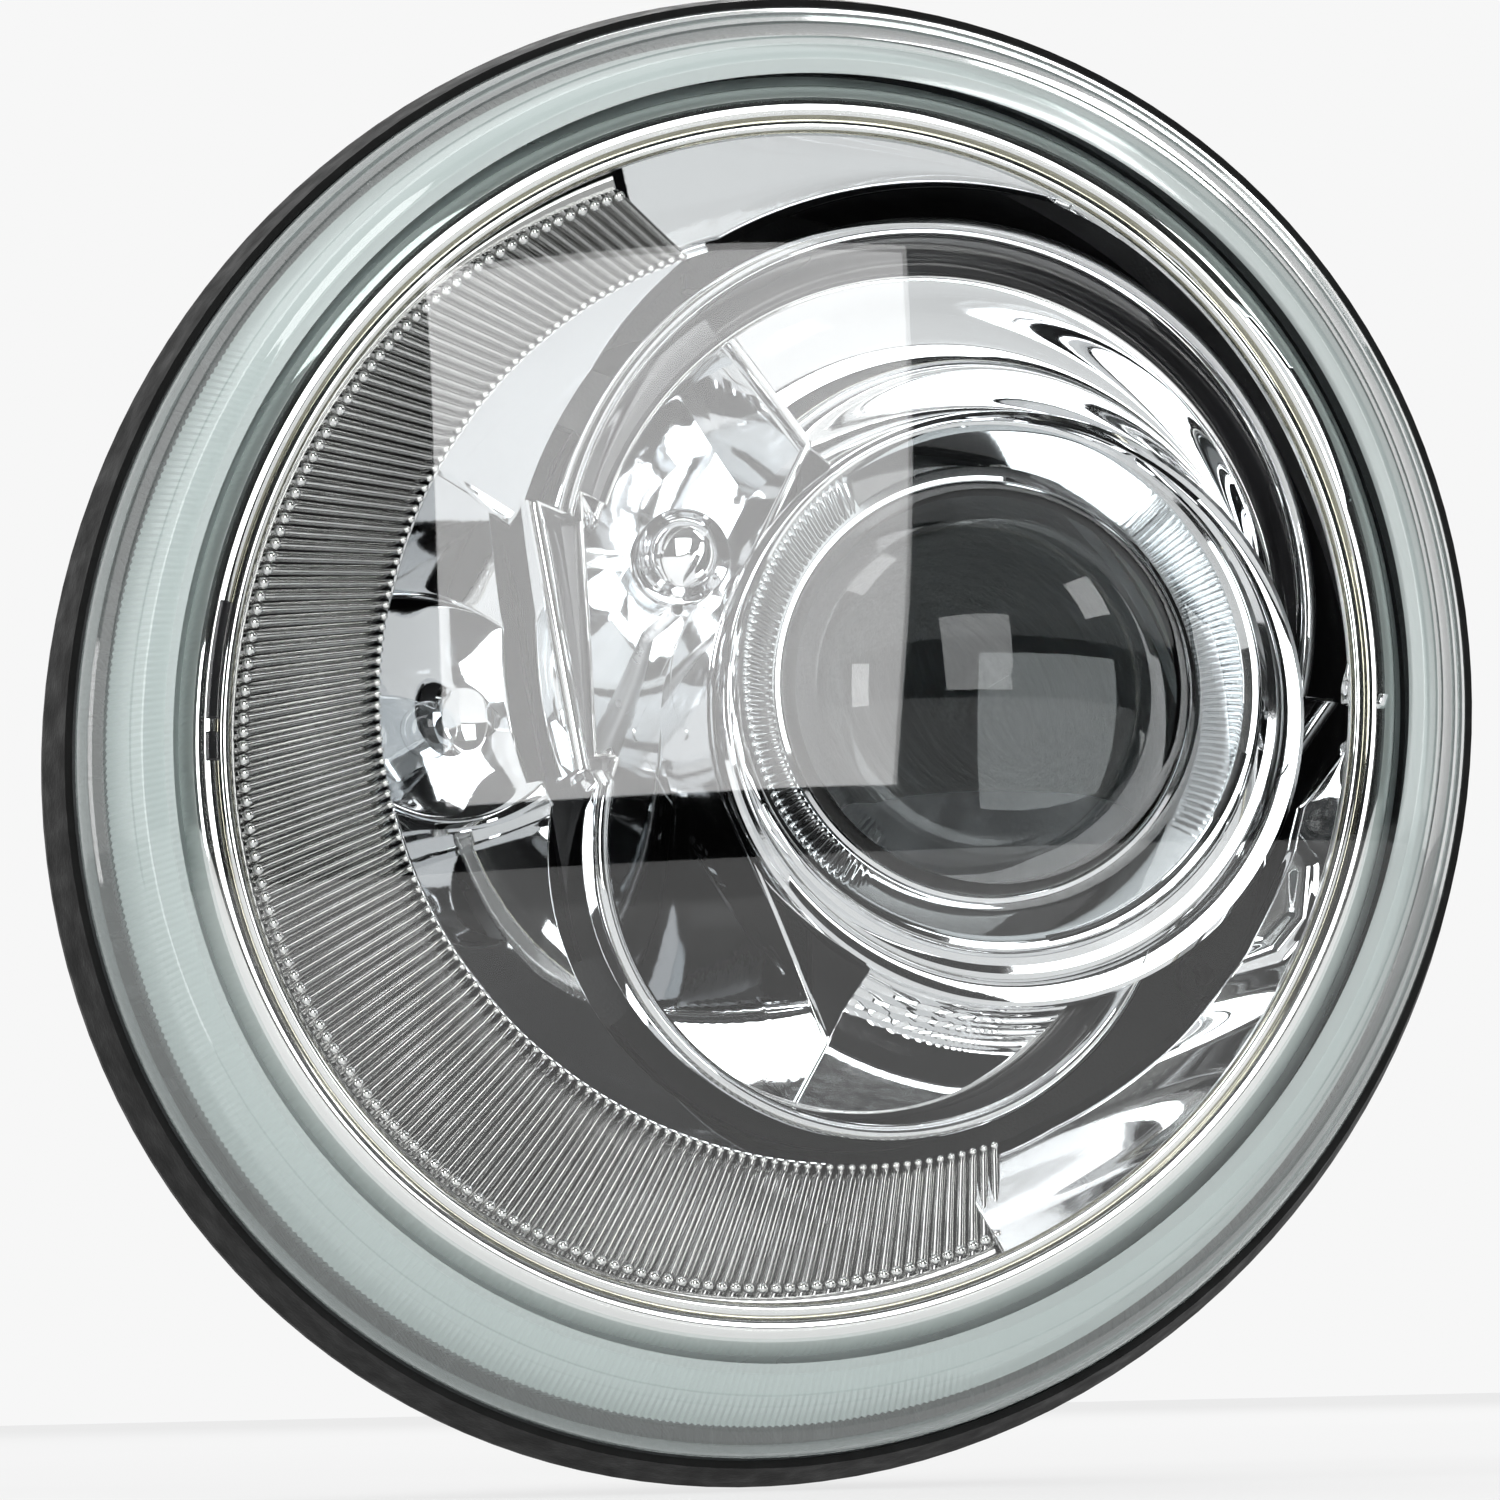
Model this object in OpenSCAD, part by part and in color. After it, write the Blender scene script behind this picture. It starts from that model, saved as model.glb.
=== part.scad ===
// Round projector headlamp with an oval clear lens: a housing, a fixed chrome bezel with a
// fluted crescent, and a carrier that holds the low-beam projector and the high-beam reflector.
// X points right, -Y out of the lens, +Z up. Inside the modules a depth is measured behind the
// plane of the lens rim; the whole lamp is then shifted so that Y = 0 is the mounting face.

/* [Lens and rim] */
// Short half-axis of the lens rim
lens_r = 115; // [110:1:120]
// Long half-axis of every rim outline over its short one
oval = 1.067; // [1.05:0.001:1.08]
// Direction of the long half-axis, in degrees above +X
oval_tilt = 60; // [0:5:90]
// Wall of the clear lens
lens_wall = 3; // [2.5:0.1:3.5]
// Height of the lens face above its stepped edge
dome_height = 14.5; // [12:0.5:16]
// Half-axis of the rubber seal round the rim
seal_r = 119.6; // [118.5:0.1:121]

/* [Housing] */
// Depth from the lens rim to the mounting face
seat_depth = 20; // [18:1:22]
// Circle through the four mounting inserts
mount_pcd = 221; // [220:1:222]
// Threaded hole in a mounting insert
insert_hole = 5; // [4.2:0.1:5.2]
// Wall of the moulded housing
wall = 2.6; // [2.2:0.1:3]
// Depth of the wall behind the front drum
drum_depth = 64; // [63:1:66]
// Depth of the wall behind the rear chamber
chamber_depth = 112; // [112:1:116]

/* [Bezel] */
// Half-axis of the inner edge of the chrome trim ring
trim_r = 91.4; // [91:0.1:92]
// Radius of the inner edge of the fluted crescent
crescent_r = 77.5; // [77:0.1:78]
// Gap between the fixed bezel and the moving shroud
aim_gap = 3; // [2.8:0.1:3.4]

/* [Low beam] */
// Radius of the projector lens
projector_r = 35; // [34:0.1:35]
// Height of the projector lens over its edge
projector_dome = 16; // [12:0.5:18]

/* [High beam] */
// Focal length of the high-beam reflector
focus = 21; // [20.5:0.1:21.5]
// Radius of the cap in front of the high-beam bulb
glare_r = 8; // [7.6:0.1:8.4]

/* [Adjusters] */
// Radius of the pivot ball
pivot_ball_r = 5; // [5:0.1:5.2]
// Radius of the balls on the two adjusting rods
rod_ball_r = 4.5; // [4.4:0.1:4.6]
// Radius of the adjusting rods
rod_r = 3; // [2.8:0.1:3]

/* [Hidden] */
$fn = 96;

// Where things sit, as [X, Z]
low_axis = [34.9, 5.9];
high_axis = [-12.2, 31.7];
high_port = [-18, 33];
pivot_at = [-54, 68];
pitch_at = [-54, -54];
yaw_at = [56, 68];
position_at = [-56, 2];
connector_at = [5, 89];
ballast_at = [29, -60];
ballast_half = [45, 11];
ballast_screws_at = [78, 104];
vents_at = [[-86, 20], [86, -38]];
bezel_screws_at = [[-81.8, 47.2], [-81.8, -47.2], [0, -98.3]];
crescent_at = [10.8, 4.3];

// The shroud's outline is two circles and the straight sides between them, and so is the rear
// chamber's
shroud_big = [26, 20, 65.5];
shroud_small = [16, -21, 49];
chamber_big = [35, 6, 46.5];
chamber_small = [-2, 30, 47.5];

// Depths behind the lens rim
foot_depth = 8;
channel_floor = 9.8;
flange_back = 13;
boss_r = 6;

// How far the straight sides of an outline lie inside the circles' common tangents
tuck = 0.08;
lens_edge = -18.9;
ball_depth = 36;
fascia_depth = 4;
frame_depth = 30;
frame_back = 34;
vertex_depth = 80;
burner_seat = 97;
pocket_depth = 22;
gasket = 3;
ballast_top = ballast_at[1] + ballast_half[1];
drum_back = drum_depth + wall;

// Where the crescent starts and ends, in degrees
crescent_from = 106;
crescent_to = 291;

low_port_r = 31;
high_port_r = 17.5;
collar = 2;
collar_length = 6.4;
clip_wire = 0.8;
clip_reach = 23;
clip_half = 8;
clip_depth = vertex_depth + 5.1;
clip_pivot_z = high_axis[1] + 14;
leg_drop = 8.9;

// ---- shared shapes ----

// A flat outline in X and Z, thickened from one depth to another
module slab(d0, d1) { translate([0, d1, 0]) rotate([90, 0, 0]) linear_extrude(d1 - d0) children(); }

// A profile of [radius, depth] turned about an axis along Y
module turned(at = [0, 0]) { translate([at[0], 0, at[1]]) rotate([-90, 0, 0]) rotate_extrude() children(); }

// A plain rod along Y
module rod(at, r, d0, d1) { translate([at[0], d1, at[1]]) rotate([90, 0, 0]) cylinder(r = r, h = d1 - d0); }

// A tube along Y
module tube(at, r0, r1, d0, d1) {
  difference() {
    rod(at, r1, d0, d1);
    rod(at, r0, d0 - 1, d1 + 1);
  }
}

// Stretches a solid along the rim's long axis
module stretched() {
  rotate([0, -oval_tilt, 0]) scale([oval, 1, 1]) rotate([0, oval_tilt, 0]) children();
}

// A profile of [radius, depth] turned into an oval ring, a quarter at a time
module oval_turned() {
  for (quarter = [0:3])
    stretched() rotate([0, 90 * quarter, 0]) rotate([-90, 0, 0]) rotate_extrude(angle = 90) children();
}

module oval_disc(r) { rotate(oval_tilt) scale([oval, 1]) rotate(-oval_tilt) circle(r); }

// Two circles, each [x, z, r], joined by straight sides and grown by a margin
module twin_outline(big, small, margin = 0) {
  r1 = big[2] + margin;
  r2 = small[2] + margin;
  across = [small[0] - big[0], small[1] - big[1]];
  heading = atan2(across[1], across[0]);
  lean = acos((r1 - r2) / norm(across));
  touch = [for (s = [1, -1]) [cos(heading + s * lean), sin(heading + s * lean)]];
  from = [big[0], big[1]];
  to = [small[0], small[1]];
  translate(from) circle(r1);
  translate(to) circle(r2);
  polygon([
    from + (r1 - tuck) * touch[0], to + (r2 - tuck) * touch[0],
    to + (r2 - tuck) * touch[1], from + (r1 - tuck) * touch[1]
  ]);
}

module shroud_outline(margin = 0) { twin_outline(shroud_big, shroud_small, margin); }
module chamber_outline(margin = 0) { twin_outline(chamber_big, chamber_small, margin); }

// A wedge of the plane between two angles less than half a turn apart
module wedge(a0, a1, r = 180) {
  mid = (a0 + a1) / 2;
  polygon([[0, 0], [r * cos(a0), r * sin(a0)], [1.6 * r * cos(mid), 1.6 * r * sin(mid)],
    [r * cos(a1), r * sin(a1)]]);
}

module crescent_side() {
  half = (crescent_from + crescent_to) / 2;
  wedge(crescent_from, half);
  wedge(half, crescent_to);
}

// A strip between two points
module strip(from, to, width) {
  span = to - from;
  translate(from) rotate(atan2(span[1], span[0])) translate([0, -width / 2]) square([norm(span), width]);
}

// The paraboloid of a lamp reflector as a solid, from its front plane to its vertex
module paraboloid(at, f, vertex, front, grow = 0) {
  deep = vertex - front;
  widest = 2 * sqrt(f * deep);
  steps = 12;
  turned(at) polygon(concat([[0, front]],
    [for (i = [steps:-1:0]) [i / steps * widest + (i == 0 ? 0 : grow), vertex + grow - deep * pow(i / steps, 2)]]));
}

// Everything above is drawn from the lens rim; this puts it in the lamp's own frame
module lamp() { translate([0, -seat_depth, 0]) children(); }

// ---- housing ----

module housing_shell() {
  color("#2b2c2e") lamp() {
    difference() {
      union() {
        oval_turned() polygon([[lens_r - 0.5, 4], [lens_r + 1.8, 4], [lens_r + 1.8, flange_back],
          [103, flange_back], [103, 9], [106.3, 9], [106.3, 5], [108.8, 5],
          [108.8, channel_floor], [lens_r - 0.5, channel_floor]]);
        slab(9, flange_back) difference() {
          oval_disc(103.5);
          circle(100.4);
        }
        tube([0, 0], 100.4, 103, 9, drum_depth + wall);
        slab(drum_depth, drum_depth + wall) difference() {
          circle(103);
          chamber_outline();
        }
        slab(drum_depth, chamber_depth + wall) difference() {
          chamber_outline(wall);
          chamber_outline();
        }
        slab(chamber_depth, chamber_depth + wall) chamber_outline(wall);
        rod(low_axis, low_port_r + collar, chamber_depth, chamber_depth + wall + collar_length);
        rod(high_port, high_port_r + 1.5, chamber_depth, chamber_depth + wall + collar_length);
        for (a = [45:90:315])
          rod(mount_pcd / 2 * [cos(a), sin(a)], boss_r, flange_back - 1.5, seat_depth);
        for (p = bezel_screws_at)
          rod(p, 4.5, 8, drum_depth + 1);
        for (p = bezel_screws_at)
          slab(flange_back, drum_depth + 1) strip(p, p * 102 / norm(p), 3);
        for (side = [-1, 1])
          translate([ballast_at[0] + side * 25 - 6, 72, ballast_top + gasket]) cube([12, 40, 20]);
      }
      rod(low_axis, low_port_r, chamber_depth - 1, 140);
      rod(high_port, high_port_r, chamber_depth - 1, 140);
      slab(drum_depth - 1, chamber_depth) chamber_outline();
      for (a = [45:90:315])
        rod(mount_pcd / 2 * [cos(a), sin(a)], 4.2, flange_back - 0.5, seat_depth + 1);
      for (p = bezel_screws_at)
        rod(p, 1.6, 7, 24);
      for (side = [-1, 1], d = ballast_screws_at)
        translate([ballast_at[0] + side * 25, d, ballast_top]) cylinder(r = 1.7, h = 12);
      rod(pitch_at, 12, drum_depth - 1, drum_depth + 5);
      rod(position_at, 8, drum_depth - 1, drum_depth + 5);
      rod(yaw_at, 6, drum_depth - 1, drum_depth + 5);
      rod(pivot_at, 2.7, drum_depth - 1, drum_depth + 5);
      for (p = vents_at)
        rod(p, 4, drum_depth - 1, drum_depth + 5);
      translate([connector_at[0] - 10.2, drum_depth - 1, connector_at[1] - 4.2]) cube([20.4, 5, 8.4]);
    }
  }
}

module mount_inserts() {
  color("#b59a4c") lamp()
    for (a = [45:90:315])
      tube(mount_pcd / 2 * [cos(a), sin(a)], insert_hole / 2, 4.2, flange_back - 0.5, seat_depth);
}

module rim_seal() {
  color("#1a1a1b") lamp()
    oval_turned() polygon([[lens_r + 0.4, 1.2], [lens_r + 1.6, 0.8], [seal_r, 11.5],
      [seal_r, 15], [lens_r + 1.8, 15], [lens_r + 1.8, 4], [lens_r + 0.4, 4]]);
}

module lens_sealant() {
  color("#4a4b4d") lamp()
    oval_turned() polygon([[108.8, foot_depth], [lens_r - 0.5, foot_depth],
      [lens_r - 0.5, channel_floor], [108.8, channel_floor]]);
}

module outer_lens() {
  edge_r = lens_r - 12.8;
  outer = (pow(edge_r, 2) + pow(dome_height, 2)) / (2 * dome_height);
  centre = lens_edge - dome_height + outer;
  color("#dfe9e6", 0.35) lamp()
    oval_turned() {
      intersection() {
        translate([0, centre]) difference() {
          circle(outer, $fn = 720);
          circle(outer - lens_wall, $fn = 720);
        }
        translate([0, -60]) square([edge_r, 58]);
      }
      polygon([[edge_r - 1.5, lens_edge + 0.3], [edge_r, lens_edge], [edge_r + 0.6, lens_edge + 0.3],
        [lens_r - 11.4, -17.4], [lens_r - 5, -8.4], [lens_r, -1.6], [lens_r, 0], [113, 0.4],
        [113, foot_depth], [110.3, foot_depth], [110.3, -1], [lens_r - 8, -6.8],
        [lens_r - 14.2, -15.4], [edge_r - 1.5, -16.2]]);
    }
}

// ---- fixed bezel ----

module trim_ring() {
  color("#dcdedf") lamp()
    oval_turned() polygon([[trim_r, -13.9], [trim_r + 2, -15], [96, -15.2], [98, -14], [99.5, -12],
      [103, -3], [104, 9], [103.05, 9], [101.3, -2.5], [98, -11], [96, -13.3], [trim_r, -12.1]]);
}

// The shallow funnel that the fixed chrome follows, falling from the trim ring to the middle
module funnel(thick = 2) {
  oval_turned() polygon([[55, 13.4], [93, -12.7], [93, -12.7 + thick], [55, 13.4 + thick]]);
}

module fluted_reflector() {
  color("#c9cbcc") lamp()
    intersection() {
      funnel();
      slab(-20, 20) intersection() {
        difference() {
          oval_disc(trim_r - 1.2);
          translate(crescent_at) circle(crescent_r + 0.15);
        }
        crescent_side();
      }
    }
}

module inner_bezel() {
  color("#d2d4d5") lamp() {
    difference() {
      union() {
        intersection() {
          funnel();
          slab(-20, 20) difference() {
            oval_disc(trim_r + 0.5);
            shroud_outline(aim_gap);
            intersection() {
              crescent_side();
              oval_disc(trim_r + 2);
            }
          }
        }
        oval_turned() polygon([[trim_r - 0.9, -11.6], [98, -8.5], [98, -6.8], [trim_r - 0.9, -9.8]]);
        intersection() {
          translate([0, 2.2, 0]) funnel(1.4);
          slab(-20, 20) intersection() {
            difference() {
              oval_disc(trim_r + 0.5);
              translate(crescent_at) circle(crescent_r - 0.7);
            }
            crescent_side();
          }
        }
        intersection() {
          slab(-12, pocket_depth + 2) intersection() {
            difference() {
              translate(crescent_at) circle(crescent_r);
              translate(crescent_at) circle(crescent_r - 1.5);
            }
            difference() {
              crescent_side();
              shroud_outline(aim_gap);
            }
          }
          oval_turned() polygon([[0.5, 51.2], [93, -12.6], [93, 60], [0.5, 60]]);
        }
        slab(pocket_depth, pocket_depth + 2) intersection() {
          difference() {
            translate(crescent_at) circle(crescent_r);
            shroud_outline(aim_gap);
          }
          crescent_side();
        }
        for (p = bezel_screws_at)
          difference() {
            rod(p, 3.5, -9.4, 8);
            funnel(2.3);
          }
      }
      rod(position_at, 17.5, pocket_depth - 1, pocket_depth + 3);
      for (p = bezel_screws_at) {
        rod(p, 2.9, -14, -4);
        rod(p, 1.6, -5, 9);
      }
    }
  }
}

module bezel_screws() {
  color("#8d9094") lamp()
    for (p = bezel_screws_at) {
      difference() {
        rod(p, 2.7, -6.4, -4);
        rod(p, 1.1, -7, -5.2);
      }
      rod(p, 1.5, -4, 22);
    }
}

module position_region(margin = 0) {
  intersection() {
    difference() {
      translate(crescent_at) circle(crescent_r - margin);
      shroud_outline(aim_gap + 1.5 + margin);
    }
    translate([position_at[0] - 30, position_at[1] - 20 + margin]) square([45, 40 - 2 * margin]);
  }
}

module position_reflector() {
  color("#d6d8d9") lamp()
    difference() {
      union() {
        intersection() {
          slab(pocket_depth + 2, 47) position_region();
          paraboloid(position_at, 5, 44, pocket_depth + 2, 1.5);
        }
        rod(position_at, 7.6, 42, 46);
      }
      intersection() {
        slab(pocket_depth + 1.5, 47) position_region(1.5);
        paraboloid(position_at, 5, 44, pocket_depth + 1.5);
      }
      rod(position_at, 6, 30, 48);
    }
}

// ---- fittings on the housing ----

module vent_caps() {
  color("#202123") lamp()
    for (p = vents_at) {
      tube(p, 2, 4, drum_depth - 4, drum_back);
      difference() {
        rod(p, 6.5, drum_back, drum_back + 11.4);
        rod(p, 5, drum_back + 5.4, drum_back + 9.9);
        rod(p, 2, drum_back - 1, drum_back + 6);
        translate([p[0], drum_back + 7.6, p[1]]) rotate([0, 90, 0]) cylinder(r = 1.5, h = 16, center = true);
      }
    }
}

module main_connector() {
  color("#1f2022") lamp() {
    translate([connector_at[0] - 10, drum_depth - 4, connector_at[1] - 4]) cube([20, 4 + wall, 8]);
    difference() {
      translate([connector_at[0] - 14, drum_back, connector_at[1] - 7]) cube([28, 24, 14]);
      translate([connector_at[0] - 12, drum_back + 9.4, connector_at[1] - 5]) cube([24, 20, 10]);
      for (i = [0:3], j = [0:1])
        rod([connector_at[0] - 8.25 + 5.5 * i, connector_at[1] - 2 + 4 * j], 0.8, drum_back + 4.4, drum_back + 10);
    }
    translate([connector_at[0] - 3, drum_back + 13.4, connector_at[1] + 7]) cube([6, 6, 2]);
  }
}

module connector_pins() {
  color("#c8a94f") lamp()
    for (i = [0:3], j = [0:1])
      rod([connector_at[0] - 8.25 + 5.5 * i, connector_at[1] - 2 + 4 * j], 0.8, drum_back + 4.4, drum_back + 19.4);
}

module ballast_case() {
  low = ballast_at[1] - ballast_half[1];
  color("#a9adb0") lamp()
    difference() {
      union() {
        translate([ballast_at[0] - ballast_half[0], 70, low]) cube([2 * ballast_half[0], 46, 2 * ballast_half[1]]);
        for (i = [0:6])
          translate([ballast_at[0] - 37 + 12 * i, 73, low - 2]) cube([2, 40, 2]);
      }
      for (side = [-1, 1], d = ballast_screws_at)
        translate([ballast_at[0] + side * 25, d, low - 3]) {
          cylinder(r = 1.9, h = 30);
          cylinder(r = 3.8, h = 6);
        }
    }
}

module ballast_gasket() {
  color("#232426") lamp()
    for (side = [-1, 1])
      difference() {
        translate([ballast_at[0] + side * 25 - 6, 72, ballast_top]) cube([12, 40, gasket]);
        for (d = ballast_screws_at)
          translate([ballast_at[0] + side * 25, d, ballast_top - 1]) cylinder(r = 2, h = gasket + 2);
      }
}

module ballast_screws() {
  head = ballast_at[1] - ballast_half[1] + 0.5;
  color("#8d9094") lamp()
    for (side = [-1, 1], d = ballast_screws_at)
      translate([ballast_at[0] + side * 25, d, head]) {
        cylinder(r = 3.4, h = 2.5);
        cylinder(r = 1.6, h = 32);
      }
}

module level_motor() {
  color("#34363a") lamp()
    difference() {
      union() {
        rod(pitch_at, 11.6, drum_depth - 4, drum_back + 3);
        rod(pitch_at, 16, drum_back + 1.4, drum_back + 5);
        rod(pitch_at, 20, drum_back + 4.4, drum_back + 26.4);
        rod(pitch_at, 12, drum_back + 26, drum_back + 30.4);
        translate([pitch_at[0] - 9, drum_back + 7, pitch_at[1] + 14]) cube([18, 16, 12]);
      }
      rod(pitch_at, rod_r + 0.4, drum_depth - 5, drum_back + 26.4);
      rod(pitch_at, 2.6, drum_back + 26, drum_back + 32);
    }
}

module motor_seal() { color("#191a1b") lamp() tube(pitch_at, 12, 16, drum_back, drum_back + 1.4); }

module pivot_stud() {
  color("#9b9ea2") lamp() {
    translate([pivot_at[0], ball_depth, pivot_at[1]]) sphere(pivot_ball_r);
    rod(pivot_at, 2.6, ball_depth + 3, drum_back + 7);
    rod(pivot_at, 3.6, ball_depth + 12, drum_depth - 2);
    translate([pivot_at[0], drum_depth, pivot_at[1]]) rotate([90, 0, 0]) cylinder(r = 5.5, h = 3, $fn = 6);
    translate([pivot_at[0], drum_back + 3.4, pivot_at[1]]) rotate([90, 0, 0]) cylinder(r = 5.5, h = 3.4, $fn = 6);
  }
}

module yaw_bushing() {
  color("#e8e6df") lamp()
    difference() {
      union() {
        rod(yaw_at, 5.9, drum_depth - 4, drum_back + 4.4);
        rod(yaw_at, 8, drum_back, drum_back + 2);
      }
      rod(yaw_at, rod_r + 0.3, drum_depth - 5, drum_back + 5);
    }
}

// ---- position lamp holder ----

module position_holder() {
  color("#27282a") lamp()
    difference() {
      union() {
        rod(position_at, 5.6, 41, 48);
        rod(position_at, 7.6, 46.4, drum_back + 2);
        rod(position_at, 10.5, drum_back + 1.4, drum_back + 4.4);
        translate([position_at[0] - 8, drum_back + 4, position_at[1] - 2]) cube([16, 11, 4]);
      }
      translate([position_at[0] - 4.9, 40, position_at[1] - 2.2]) cube([9.8, 8, 4.4]);
    }
}

module position_bulb() {
  color("#eef2f2", 0.5) lamp() {
    rod(position_at, 4.8, 28, 40);
    translate([position_at[0], 28, position_at[1]]) sphere(4.8);
    translate([position_at[0] - 4.6, 40, position_at[1] - 1.9]) cube([9.2, 7, 3.8]);
  }
}

module position_seal() { color("#191a1b") lamp() tube(position_at, 7.7, 10.5, drum_back, drum_back + 1.4); }

// ---- pivot and sockets ----

// Half of a hollow ball's section, open from a mouth backwards
module cup_section(r0, r1, mouth) {
  translate([0, ball_depth]) intersection() {
    difference() {
      circle(r1);
      circle(r0);
    }
    translate([0, -r1 - 1]) square([r1 + 1, r1 + 1 + mouth]);
  }
}

module ball_cup(at, r0, r1, mouth) { turned(at) cup_section(r0, r1, mouth); }

module pivot_bush() { color("#ece9e0") lamp() ball_cup(pivot_at, pivot_ball_r + 0.3, 7.7, 3); }

module rod_socket(at) {
  ball_cup(at, rod_ball_r + 0.4, 7.4, 3);
  difference() {
    rod(at, 9.5, frame_back, frame_back + 2);
    rod(at, 7.3, frame_back - 1, frame_back + 3);
  }
}

module pitch_socket() { color("#ece9e0") lamp() rod_socket(pitch_at); }

module yaw_socket() { color("#ece9e0") lamp() rod_socket(yaw_at); }

// ---- carrier ----

// The part of the shroud that the high-beam reflector fills
module high_region(inset) {
  difference() {
    intersection() {
      shroud_outline(-inset);
      translate([-100, -100]) square([115 - inset, 200]);
    }
    translate(low_axis) circle(37.2 + inset);
  }
}

module carrier_frame() {
  color("#3b3d40") lamp()
    difference() {
      union() {
        slab(frame_depth, frame_back) difference() {
          union() {
            shroud_outline();
            strip(pivot_at, [-20, 56], 11);
            strip(pitch_at, [-22, -40], 12);
            translate(pitch_at) circle(11);
            translate(pivot_at) circle(10.2);
          }
          high_region(5.7);
          translate(low_axis) circle(39.5);
          translate(yaw_at) circle(7.6);
          translate(pitch_at) circle(7.6);
        }
        ball_cup(pivot_at, 8, 10.2, 3.5);
      }
      turned(pivot_at) cup_section(0, 8, 3.5);
      for (a = [-100, 20, 100])
        rod(low_axis + 47 * [cos(a), sin(a)], 2, frame_depth - 1, frame_back + 1);
    }
}

module main_shroud() {
  color("#c4c6c8") lamp() {
    slab(0, frame_depth) difference() {
      shroud_outline();
      shroud_outline(-2.2);
    }
    slab(fascia_depth, fascia_depth + 2) difference() {
      shroud_outline(-1);
      difference() {
        high_region(8);
        translate(low_axis) circle(50.5);
      }
      translate(low_axis) circle(46);
    }
  }
}

module high_reflector() {
  front = fascia_depth + 2;
  color("#d5d7d8") lamp()
    difference() {
      union() {
        intersection() {
          slab(front, vertex_depth + 4) high_region(6);
          paraboloid(high_axis, focus, vertex_depth, front, 2);
        }
        slab(front, front + 2) high_region(6);
        rod(high_axis, 11.5, vertex_depth - 1, vertex_depth + 2.2);
        translate([high_axis[0] - 9, vertex_depth - 5, clip_pivot_z - 3]) cube([18, 7, 8]);
        for (side = [-1, 1])
          translate([high_axis[0] + side * 5.5 - 1, vertex_depth + 1, clip_pivot_z - 2]) cube([2, 7, 4.4]);
      }
      intersection() {
        slab(front - 1, vertex_depth + 4) high_region(8);
        paraboloid(high_axis, focus, vertex_depth, front - 1);
      }
      rod(high_axis, 7, vertex_depth - 10, vertex_depth + 4);
      rod(high_axis - [0, leg_drop], 1.4, vertex_depth - 4, vertex_depth + 4);
      translate([0, clip_depth, clip_pivot_z]) rotate([0, 90, 0]) cylinder(r = clip_wire + 0.2, h = 80, center = true);
      translate([high_axis[0], vertex_depth + 4, clip_pivot_z + 2.6]) rotate([90, 0, 0]) cylinder(r = 1.1, h = 7);
    }
}

module glare_cap() {
  color("#b8babc") lamp() {
    difference() {
      union() {
        rod(high_axis, glare_r, 26, 34);
        translate([high_axis[0], 36, high_axis[1]])
          intersection() {
            sphere(12.8);
            translate([0, -5, 0]) rotate([90, 0, 0]) cylinder(r = glare_r, h = 10);
          }
      }
      rod(high_axis, glare_r - 1, 27.5, 35);
    }
    rod(high_axis - [0, leg_drop], 1.6, 27, 34);
    rod(high_axis - [0, leg_drop], 1.1, 32, vertex_depth + 2);
  }
}

module high_bulb_glass() {
  color("#eef3f4", 0.45) lamp() {
    rod(high_axis, 5.2, 46, 72);
    translate([high_axis[0], 46, high_axis[1]]) sphere(5.2);
  }
}

module high_bulb_base() {
  color("#a8abad") lamp() {
    rod(high_axis, 6.6, 72, vertex_depth + 2.2);
    difference() {
      rod(high_axis, 10.3, vertex_depth + 2.2, vertex_depth + 4);
      rod(high_axis + [0, 10.3], 1.2, vertex_depth, vertex_depth + 5);
    }
    rod(high_axis, 6, vertex_depth + 4, vertex_depth + 9);
  }
}

module high_bulb_plug() {
  color("#2a2b2d") lamp()
    difference() {
      translate([high_axis[0] - 5, vertex_depth + 9, high_axis[1] - 3]) cube([10, 8, 6]);
      translate([high_axis[0] - 3.2, vertex_depth + 13, high_axis[1] - 1.2]) cube([6.4, 5, 2.4]);
    }
}

module clip_screw() {
  color("#8d9094") lamp() {
    translate([high_axis[0], vertex_depth + 3.6, clip_pivot_z + 2.6]) rotate([90, 0, 0]) cylinder(r = 2.2, h = 1.6);
    translate([high_axis[0], vertex_depth + 2, clip_pivot_z + 2.6]) rotate([90, 0, 0]) cylinder(r = 1, h = 4.6);
  }
}

// ---- projector ----

module projector_bezel() {
  color("#d9dbdc") lamp() intersection() {
    turned(low_axis) polygon([[39.2, 7], [43.3, -5], [44.4, -6.2], [45.4, -5.4], [46.4, -2.6],
      [48.4, -1], [48.4, fascia_depth], [46.9, fascia_depth], [46.9, 0.8], [45.4, -1], [44.2, -3.6], [41, 7]]);
    slab(-10, 10) shroud_outline(-2.35);
  }
}

module projector_lens() {
  dome_r = projector_r - 1;
  ball = (pow(dome_r, 2) + pow(projector_dome, 2)) / (2 * projector_dome);
  color("#9fb0b6", 0.6) lamp() {
    rod(low_axis, projector_r, 3, 6);
    intersection() {
      translate([low_axis[0], 3 - projector_dome + ball, low_axis[1]]) sphere(ball);
      rod(low_axis, dome_r, -20, 3);
    }
  }
}

module lens_retainer() {
  color("#b9bbbd") lamp()
    turned(low_axis) polygon([[34.3, 1.4], [35, 1], [38.3, 1], [38.5, 1.2], [38.5, 9], [35.3, 9],
      [35.3, 2.8], [34.3, 2.8]]);
}

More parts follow.
